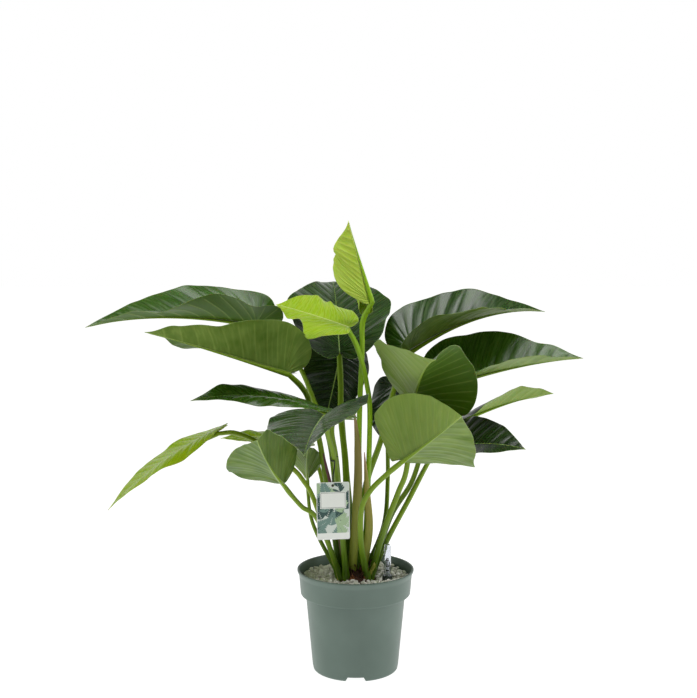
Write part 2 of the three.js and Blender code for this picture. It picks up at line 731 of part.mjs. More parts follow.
const crown = toSolid(turned(crownProfile(0), 20));
const crownHole = toSolid(turned(crownProfile(clearance), 20));
const gaugeHole = toSolid(gaugePlace(turned([
  [0, 29.7], [6.5, 29.7], [6.5, 163.7], [9.5, 167.7], [9.5, 200], [0, 200],
], 16)));

put("pot", toGeometry(potSolid()), potPlastic);
put("fill", toGeometry(fillSolid([crownHole, gaugeHole])), pumice);
put("crown", toGeometry(crown), crownBark);
leaves.forEach((leaf) => {
  put(leaf.name, toGeometry(mainBody(leafSolid(leaf).subtract(crownHole))), leaf.look);
});
sheaths.forEach((sheath) => {
  put(sheath.name, toGeometry(mainBody(toSolid(sheathSolid(sheath)).subtract(crownHole))), sheath.look);
});
put("gauge_body", gaugeBody(), blackPlastic);
put("gauge_tube", gaugeTube(), clearPlastic);
put("gauge_float", gaugeFloat(), floatPlastic);
put("tag", tagSolid(), printedCard);
put("tag_hook", hookSolid(), blackPlastic);

export default group;
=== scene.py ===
# A philodendron with long heart-shaped leaves in its grower's pot: finishes, light and camera.
# Sizes in the dictionaries are millimetres and degrees, +Z up, +Y away from the viewer.

import math

import bmesh
import bpy
import numpy as np
from mathutils import Euler, Matrix, Vector


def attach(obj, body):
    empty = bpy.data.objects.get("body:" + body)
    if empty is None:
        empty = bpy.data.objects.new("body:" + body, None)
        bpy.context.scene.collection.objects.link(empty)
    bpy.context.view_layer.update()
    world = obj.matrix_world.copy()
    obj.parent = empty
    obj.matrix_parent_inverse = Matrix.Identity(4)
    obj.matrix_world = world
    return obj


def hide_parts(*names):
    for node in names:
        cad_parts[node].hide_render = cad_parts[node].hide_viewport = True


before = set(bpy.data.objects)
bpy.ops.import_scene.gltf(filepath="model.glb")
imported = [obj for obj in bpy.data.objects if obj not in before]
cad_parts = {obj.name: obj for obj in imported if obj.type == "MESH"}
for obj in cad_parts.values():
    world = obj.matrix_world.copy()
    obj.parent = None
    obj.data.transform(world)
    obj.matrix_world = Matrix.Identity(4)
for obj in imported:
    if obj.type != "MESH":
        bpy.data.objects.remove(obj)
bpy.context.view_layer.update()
mm = 0.001


# shared helpers

def toLinear(hexColour):
    parts = [int(hexColour[i:i + 2], 16) / 255 for i in (1, 3, 5)]
    return (*[c / 12.92 if c <= 0.04045 else ((c + 0.055) / 1.055) ** 2.4 for c in parts], 1.0)


def addNode(tree, kind, values=None, links=None, **settings):
    node = tree.nodes.new("ShaderNode" + kind)
    for name, value in settings.items():
        setattr(node, name, value)
    for socket, value in (values or {}).items():
        node.inputs[socket].default_value = value
    for socket, source in (links or {}).items():
        tree.links.new(source, node.inputs[socket])
    return node


# settings for addNode: a colour mix has its factor at input 0, its colours at 6 and 7 and its result at
# output 2; a map range goes from inputs 1 and 2 to inputs 3 and 4, and an eased one is flat at both ends
colourMix = dict(data_type="RGBA")
eased = dict(interpolation_type="SMOOTHSTEP")
times = dict(operation="MULTIPLY")


def newMaterial(name, **values):
    # a material with one Principled shader, whose sockets are set by name
    material = bpy.data.materials.new(name)
    material.use_nodes = True
    shader = material.node_tree.nodes["Principled BSDF"]
    for socket, value in values.items():
        shader.inputs[socket.replace("_", " ")].default_value = value
    return material, material.node_tree, shader


def dressShader(tree, shader, colour, height, strength, depth, roughness=None):
    # colour, relief and, where it varies, roughness; depth is the relief's in millimetres
    tree.links.new(colour, shader.inputs["Base Color"])
    if roughness is not None:
        tree.links.new(roughness, shader.inputs["Roughness"])
    bump = addNode(tree, "Bump", {"Strength": strength, "Distance": depth * mm}, {"Height": height})
    tree.links.new(bump.outputs[0], shader.inputs["Normal"])


def smoothStep(low, high, x):
    s = np.clip((np.asarray(x, float) - low) / (high - low), 0, 1)
    return s * s * (3 - 2 * s)


def makeObject(name, points, faces, materials, slots=None, attributes=None, smooth=True, sharp=None):
    mesh = bpy.data.meshes.new(name)
    mesh.from_pydata((np.asarray(points, float) * mm).tolist(), [], faces)
    for material in materials:
        mesh.materials.append(material)
    if slots is not None:
        mesh.polygons.foreach_set("material_index", slots)
    for label, values in (attributes or {}).items():
        layer = mesh.attributes.new(label, "FLOAT", "POINT")
        layer.data.foreach_set("value", np.asarray(values, np.float32))
    mesh.polygons.foreach_set("use_smooth", [smooth] * len(mesh.polygons))
    if sharp:
        mesh.set_sharp_from_angle(angle=math.radians(sharp))
    mesh.update()
    made = bpy.data.objects.new(name, mesh)
    bpy.context.scene.collection.objects.link(made)
    return made


def placePiece(piece, node):
    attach(piece, "root")
    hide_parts(node)


class Builder:
    # gathers points, faces, slots and attributes of one piece
    def __init__(self, labels=()):
        self.points, self.faces, self.slots = [], [], []
        self.attributes = {label: [] for label in labels}
        self.count = 0

    def add(self, points, faces, slot=0, **attributes):
        start = self.count
        self.points.append(np.asarray(points, float))
        self.faces += [tuple(start + k for k in face) for face in faces]
        self.slots += [slot] * len(faces)
        for label, values in self.attributes.items():
            values.append(np.broadcast_to(np.asarray(attributes.get(label, 0.0), float), (len(points),)))
        self.count += len(points)

    def make(self, name, materials, **options):
        attributes = {label: np.concatenate(values) for label, values in self.attributes.items()}
        points = np.vstack(self.points)
        return makeObject(name, points, self.faces, materials, self.slots, attributes, **options)


def catmullRom(points, where):
    points = np.asarray(points, float)
    last = len(points) - 1
    ends = np.vstack([2 * points[0] - points[1], points, 2 * points[-1] - points[-2]])
    place = np.clip(where, 0, 1) * last
    k = np.minimum(place.astype(int), last - 1)
    f = (place - k)[:, None]
    a, b, c, d = (ends[k + i] for i in range(4))
    square, cube = 2 * a - 5 * b + 4 * c - d, 3 * b - 3 * c + d - a
    return 0.5 * (2 * b + (c - a) * f + square * f ** 2 + cube * f ** 3)


def pointsAt(points, shares, weights=(1, 1, 1)):
    # points of a curve at shares of its length, in which each axis counts by its weight
    even = np.linspace(0, 1, 201)
    steps = np.diff(catmullRom(points, even), axis=0) * np.asarray(weights)[:len(points[0])]
    length = np.concatenate([[0], np.cumsum(np.linalg.norm(steps, axis=1))])
    return catmullRom(points, np.interp(np.asarray(shares) * length[-1], length, even))


def unit(v):
    return v / np.linalg.norm(v, axis=-1, keepdims=True)


def angleSteps(sides):
    return np.linspace(0, 2 * math.pi, sides, endpoint=False)


def roundSection(sides):
    # a unit circle of (across, up) offsets, starting at the top
    return np.stack([np.sin(angleSteps(sides)), np.cos(angleSteps(sides))], axis=-1)


def fromTop(sides):
    # the same angles, counted from the top to either side
    return (angleSteps(sides) + math.pi) % (2 * math.pi) - math.pi


def ringFaces(count, sides, closed=False):
    # quads between rings of points, and from the last ring to the first where they close on themselves
    return [(i * sides + k, i * sides + (k + 1) % sides,
             (i + 1) % count * sides + (k + 1) % sides, (i + 1) % count * sides + k)
            for i in range(count if closed else count - 1) for k in range(sides)]


def latheRings(profile, sides, centre):
    # rings of points round an upright axis, from [radius, height] points
    radii, heights = np.asarray(profile, float)[:, :2].T[..., None]
    angles = angleSteps(sides)
    across, away, up = radii * np.cos(angles), radii * np.sin(angles), np.repeat(heights, sides, axis=1)
    return np.stack([across, away, up], axis=-1).reshape(-1, 3) + (*centre, 0)


def sweptTube(centres, sections, up, fromEnd=False):
    # rings round a line of centres: sections hold (across, up) offsets, and up is the first or last ring's
    tangents = unit(np.gradient(centres, axis=0))
    order = range(len(centres) - 1, -1, -1) if fromEnd else range(len(centres))
    ups = np.zeros_like(centres)
    for i in order:
        up = up - tangents[i] * (up @ tangents[i])
        up = up / np.linalg.norm(up)
        ups[i] = up
    across = np.cross(ups, tangents)
    sections = np.asarray(sections)
    rings = centres[:, None] + across[:, None] * sections[..., 0:1] + ups[:, None] * sections[..., 1:2]
    count, sides = rings.shape[:2]
    ends = [tuple(range(sides))[::-1], tuple((count - 1) * sides + k for k in range(sides))]
    return rings.reshape(-1, 3), ringFaces(count, sides) + ends


def turnedShape(profile, sides, centre=(0, 0)):
    # closed lathe from [radius, height] points that start and end on the axis
    ends = [(*centre, profile[0][1]), (*centre, profile[-1][1])]
    points = np.vstack([latheRings(profile[1:-1], sides, centre), ends])
    count = len(profile) - 2
    low, high = len(points) - 2, len(points) - 1
    faces = ringFaces(count, sides) + [(low, (k + 1) % sides, k) for k in range(sides)]
    faces += [(high, (count - 1) * sides + k, (count - 1) * sides + (k + 1) % sides) for k in range(sides)]
    return points, faces


def closedRing(profile, sides, centre=(0, 0)):
    # closed lathe from a profile that closes on itself
    return latheRings(profile, sides, centre), ringFaces(len(profile), sides, closed=True)


def roundedProfile(profile, steps=4):
    # [radius, height] or [radius, height, corner radius]: corners with a third number are rounded
    most = 0.48  # of a side, for each of its two corners
    made = []
    for i, corner in enumerate(profile):
        here = np.array(corner[:2], float)
        if len(corner) < 3:
            made.append(here)
            continue
        before, after = (np.array(profile[i + k][:2], float) - here for k in (-1, 1))
        reach = min(corner[2], np.linalg.norm(before) * most, np.linalg.norm(after) * most)
        start, end = here + unit(before) * reach, here + unit(after) * reach
        for s in np.linspace(0, 1, steps + 1):
            made.append((1 - s) ** 2 * start + 2 * s * (1 - s) * here + s * s * end)
    return [tuple(p) for p in made]


# leaf finishes: a waxy leathery skin, glossy above and duller below

leafColours = {
    "dark": dict(deep="#0a2006", mid="#34580c", vein="#6f8c40", rib="#8ba658", edge="#7c9648",
                 olive="#3c5c00", pale="#748c3e", underVein="#8ea250", underRib="#9cb062",
                 foot="#4a6c00", stem="#74920c", grooveShade="#3e5800", gloss=0.5),
    "bright": dict(deep="#6c8a00", mid="#869f0c", vein="#94aa26", rib="#bccb78", edge="#aebc60",
                   olive="#7e9808", pale="#98ac46", underVein="#a8b862", underRib="#b8c878",
                   foot="#4e7200", stem="#86a014", grooveShade="#587606", gloss=0.1),
    "lime": dict(deep="#6e9404", mid="#94b020", vein="#b4c866", rib="#c8d68c", edge="#c0d07c",
                 olive="#82a404", pale="#a2ba3e", underVein="#bccc72", underRib="#c8d68c",
                 foot="#5a8a06", stem="#8ab414", grooveShade="#6c9608", gloss=0.3),
}
# the two faces: names of their colours, then roughness where the wax is thick and thin, how much patches
# add to the tone, the tone that is darkest, the share of the streaks, partly fine veins and partly painted
# sheen, in dark and light tones, the share of the vein lines, which on top are painted shade in the sunk
# veins, and where the midrib's colour starts and ends to fade, in millimetres from its middle
leafFaces = {
    "top": dict(first="deep", second="mid", streakAndSheen="vein", line="deep", rib="rib", roughness=(0.2, 0.36),
                patches=0.55, darkest=0.1, streaks=(0.1, 0.2), lines=0.4, ribFade=(0.7, 2.6)),
    "underside": dict(first="olive", second="pale", streakAndSheen="underVein", line="underVein", rib="underRib",
                      roughness=(0.42, 0.54), patches=0.9, darkest=0.35, streaks=(0.06, 0.4), lines=0.35,
                      ribFade=(1.2, 3.4), gloss=0.16),
}
leafSurface = {
    "patchSize": 34,  # mm, slow changes of tone
    "streaksPerVein": 5,  # fine parallel veins between two side veins
    "streaksAcross": 2.2,  # changes of a streak on its way from the midrib to the margin
    "veinWidth": 0.1,  # of the space between two side veins
    "edgeFade": (0.1, 0.8), "edgeShare": 0.7,  # the margin's pale line, mm from the edge
    "bumpHeight": 0.15,  # mm
}
stemSurface = {
    "roughness": (0.3, 0.42), "gloss": 0.35,
    "fibreLength": 7.0, "fibreShare": 0.22, "fibreHeight": 0.3,  # changes along a petiole, share, mm
    "footEnd": 0.5,  # where the foot's darker colour ends, as a share of the petiole
    "grooveShadeShare": 0.5,
    "shade": (0.72, 1.12),  # of a dark and a light petiole
}


def leafSkin(name, colours, face):
    look = leafFaces[face]
    gloss = look.get("gloss", colours["gloss"])
    material, tree, shader = newMaterial(name, IOR=1.46, Specular_IOR_Level=gloss, Subsurface_Weight=0.12,
                                         Subsurface_Scale=1.5 * mm)
    rib, edge, vein, out, tone, seed = (addNode(tree, "Attribute", attribute_name=label).outputs["Fac"]
                                        for label in ("rib", "edge", "vein", "out", "tone", "seed"))
    first, second, streakAndSheenColour, veinColourAndShade, ribColour = (
        toLinear(colours[look[part]]) for part in ("first", "second", "streakAndSheen", "line", "rib"))
    # slow patches of tone over the blade, added to the tone attribute, which is partly painted light and
    # shade
    where = addNode(tree, "TexCoord").outputs["Object"]
    patches = addNode(tree, "TexNoise", {"Scale": 1000 / leafSurface["patchSize"], "Detail": 2.0},
                      {"Vector": where}).outputs[0]
    toned = addNode(tree, "Math", {1: look["patches"]}, {0: patches, 2: tone},
                    operation="MULTIPLY_ADD").outputs[0]
    light = addNode(tree, "MapRange", {1: look["darkest"], 2: 1.3}, {0: toned}, **eased).outputs[0]
    colour = addNode(tree, "Mix", {6: first, 7: second}, {0: light}, **colourMix).outputs[2]
    # streaks along the side veins: partly fine veins, partly painted sheen, more of them on lighter tones
    across = addNode(tree, "Math", {1: leafSurface["streaksPerVein"]}, {0: vein}, **times).outputs[0]
    outward = addNode(tree, "Math", {1: leafSurface["streaksAcross"]}, {0: out}, **times).outputs[0]
    lines = addNode(tree, "CombineXYZ", {}, {0: across, 1: outward, 2: seed}).outputs[0]
    streaks = addNode(tree, "TexNoise", {"Scale": 1.0, "Detail": 2.0, "Roughness": 0.5},
                      {"Vector": lines}).outputs[0]
    streakAndSheen = addNode(tree, "MapRange", {1: 0.42, 2: 0.72}, {0: streaks}, **eased).outputs[0]
    least, most = look["streaks"]
    share = addNode(tree, "MapRange", {3: least, 4: most}, {0: light}).outputs[0]
    share = addNode(tree, "Math", {}, {0: streakAndSheen, 1: share}, **times).outputs[0]
    colour = addNode(tree, "Mix", {7: streakAndSheenColour}, {0: share, 6: colour}, **colourMix).outputs[2]
    # side veins: a thin line where their count is whole, darker on top as painted shade in the sunk veins,
    # paler below, gone at the margin
    nearVein = addNode(tree, "Math", {1: 0.5}, {0: vein}, operation="PINGPONG").outputs[0]
    veinLine = addNode(tree, "MapRange", {1: 0.0, 2: leafSurface["veinWidth"], 3: 1.0, 4: 0.0},
                       {0: nearVein}, **eased).outputs[0]
    inside = addNode(tree, "MapRange", {1: 0.86, 2: 0.99, 3: 1.0, 4: 0.0}, {0: out}, **eased).outputs[0]
    share = addNode(tree, "Math", {1: look["lines"]}, {0: veinLine}, **times).outputs[0]
    share = addNode(tree, "Math", {}, {0: share, 1: inside}, **times).outputs[0]
    colour = addNode(tree, "Mix", {7: veinColourAndShade}, {0: share, 6: colour}, **colourMix).outputs[2]
    # midrib and margin
    start, end = look["ribFade"]
    share = addNode(tree, "MapRange", {1: start, 2: end, 3: 1.0, 4: 0.0}, {0: rib}, **eased).outputs[0]
    colour = addNode(tree, "Mix", {7: ribColour}, {0: share, 6: colour}, **colourMix).outputs[2]
    start, end = leafSurface["edgeFade"]
    share = addNode(tree, "MapRange", {1: start, 2: end, 3: 1.0, 4: 0.0}, {0: edge}, **eased).outputs[0]
    share = addNode(tree, "Math", {1: leafSurface["edgeShare"]}, {0: share}, **times).outputs[0]
    edgeColour = toLinear(colours["edge"])
    colour = addNode(tree, "Mix", {7: edgeColour}, {0: share, 6: colour}, **colourMix).outputs[2]
    # the wax is thinner on some streaks, and the side veins are sunk
    thick, thin = look["roughness"]
    roughness = addNode(tree, "MapRange", {1: 0.3, 2: 0.7, 3: thick, 4: thin}, {0: streaks}).outputs[0]
    height = addNode(tree, "Math", {}, {0: streaks, 1: veinLine}, operation="SUBTRACT").outputs[0]
    dressShader(tree, shader, colour, height, 0.1, leafSurface["bumpHeight"], roughness)
    return material


def stemSkin(name, colours):
    # petiole: the same wax over long fibres, darker at the foot, with painted shade in the channel
    material, tree, shader = newMaterial(name, IOR=1.46, Specular_IOR_Level=stemSurface["gloss"])
    vein, out, along, tone, seed = (addNode(tree, "Attribute", attribute_name=label).outputs["Fac"]
                                    for label in ("vein", "out", "along", "tone", "seed"))
    stretched = addNode(tree, "Math", {1: stemSurface["fibreLength"]}, {0: along}, **times).outputs[0]
    lines = addNode(tree, "CombineXYZ", {}, {0: vein, 1: stretched, 2: seed}).outputs[0]
    fibres = addNode(tree, "TexNoise", {"Scale": 1.6, "Detail": 3.0, "Roughness": 0.65},
                     {"Vector": lines}).outputs[0]
    foot, above, grooveShade, fibre = (toLinear(colours[part]) for part in ("foot", "stem", "grooveShade", "underRib"))
    share = addNode(tree, "MapRange", {1: 0.0, 2: stemSurface["footEnd"]}, {0: along}, **eased).outputs[0]
    colour = addNode(tree, "Mix", {6: foot, 7: above}, {0: share}, **colourMix).outputs[2]
    # painted shade: the channel is darkened where shade falls in it
    share = addNode(tree, "MapRange", {}, {0: out}, **eased).outputs[0]
    share = addNode(tree, "Math", {1: stemSurface["grooveShadeShare"]}, {0: share}, **times).outputs[0]
    colour = addNode(tree, "Mix", {7: grooveShade}, {0: share, 6: colour}, **colourMix).outputs[2]
    share = addNode(tree, "MapRange", {1: 0.5, 2: 0.85}, {0: fibres}, **eased).outputs[0]
    share = addNode(tree, "Math", {1: stemSurface["fibreShare"]}, {0: share}, **times).outputs[0]
    colour = addNode(tree, "Mix", {7: fibre}, {0: share, 6: colour}, **colourMix).outputs[2]
    dark, light = stemSurface["shade"]
    shade = addNode(tree, "MapRange", {3: dark, 4: light}, {0: tone}).outputs[0]
    colour = addNode(tree, "VectorMath", {}, {0: colour, 1: shade}, **times).outputs[0]
    thick, thin = stemSurface["roughness"]
    roughness = addNode(tree, "MapRange", {1: 0.3, 2: 0.7, 3: thick, 4: thin}, {0: fibres}).outputs[0]
    dressShader(tree, shader, colour, fibres, 0.4, stemSurface["fibreHeight"], roughness)
    return material


leafMaterials = {
    kind: [leafSkin(f"waxy leaf top, {kind}", colours, "top"),
           leafSkin(f"leaf underside, {kind}", colours, "underside"),
           stemSkin(f"smooth petiole, {kind}", colours)]
    for kind, colours in leafColours.items()
}
print("leaf finishes ready")


# leaves: blade and petiole of each are one body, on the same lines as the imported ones

# half of a blade laid flat: along the midrib and out from it, as shares of the length and the half width
halfOutline = [
    (0, 0), (-0.07, 0.1), (-0.135, 0.32), (-0.13, 0.62), (-0.04, 0.88), (0.12, 1),
    (0.3, 0.97), (0.5, 0.8), (0.7, 0.52), (0.86, 0.235), (0.95, 0.075), (1, 0),
]
blade = {
    "sideVeins": 16, "rowsPerVein": 8,
    "columns": 11,  # of points on a half, besides two close ones at the midrib and two at the margin
    "lobes": 0.1, "gathered": 0.03,  # rows whose margin lies before the first start before the second
    "bunching": 1.35, "bow": 1.22,  # how the other rows crowd towards the lobes, and how they bend forward
    "underVeins": 40,  # added to the vein count below, so that the two faces differ
    "thickness": 1.0, "edgeThickness": 0.5,
    "puff": 1.0,  # how far the skin stands up between two side veins
    "ripple": 2.2,  # at the margin
    "ripples": ((1.4, 0.9), (2.6, 0.8), (4.3, 0.6), (7.1, 0.35), (11.3, 0.18)),  # waves a half, and shares
    "ribLift": 0.35,  # depth of the channel over the midrib
}
stem = {
    "rings": 58, "ribRings": 26, "sides": 16,
    "buried": (9.0, 4.5),  # two more rings below the first, inside the crown
    "footFlare": 0.3, "neckFlare": 0.12,  # swelling at the crown and under the blade
    "channel": 0.24, "shoulder": 0.07,  # the upper side's groove and its two edges, as shares of the radius
    "fibres": 9,  # from the top round to the underside
}
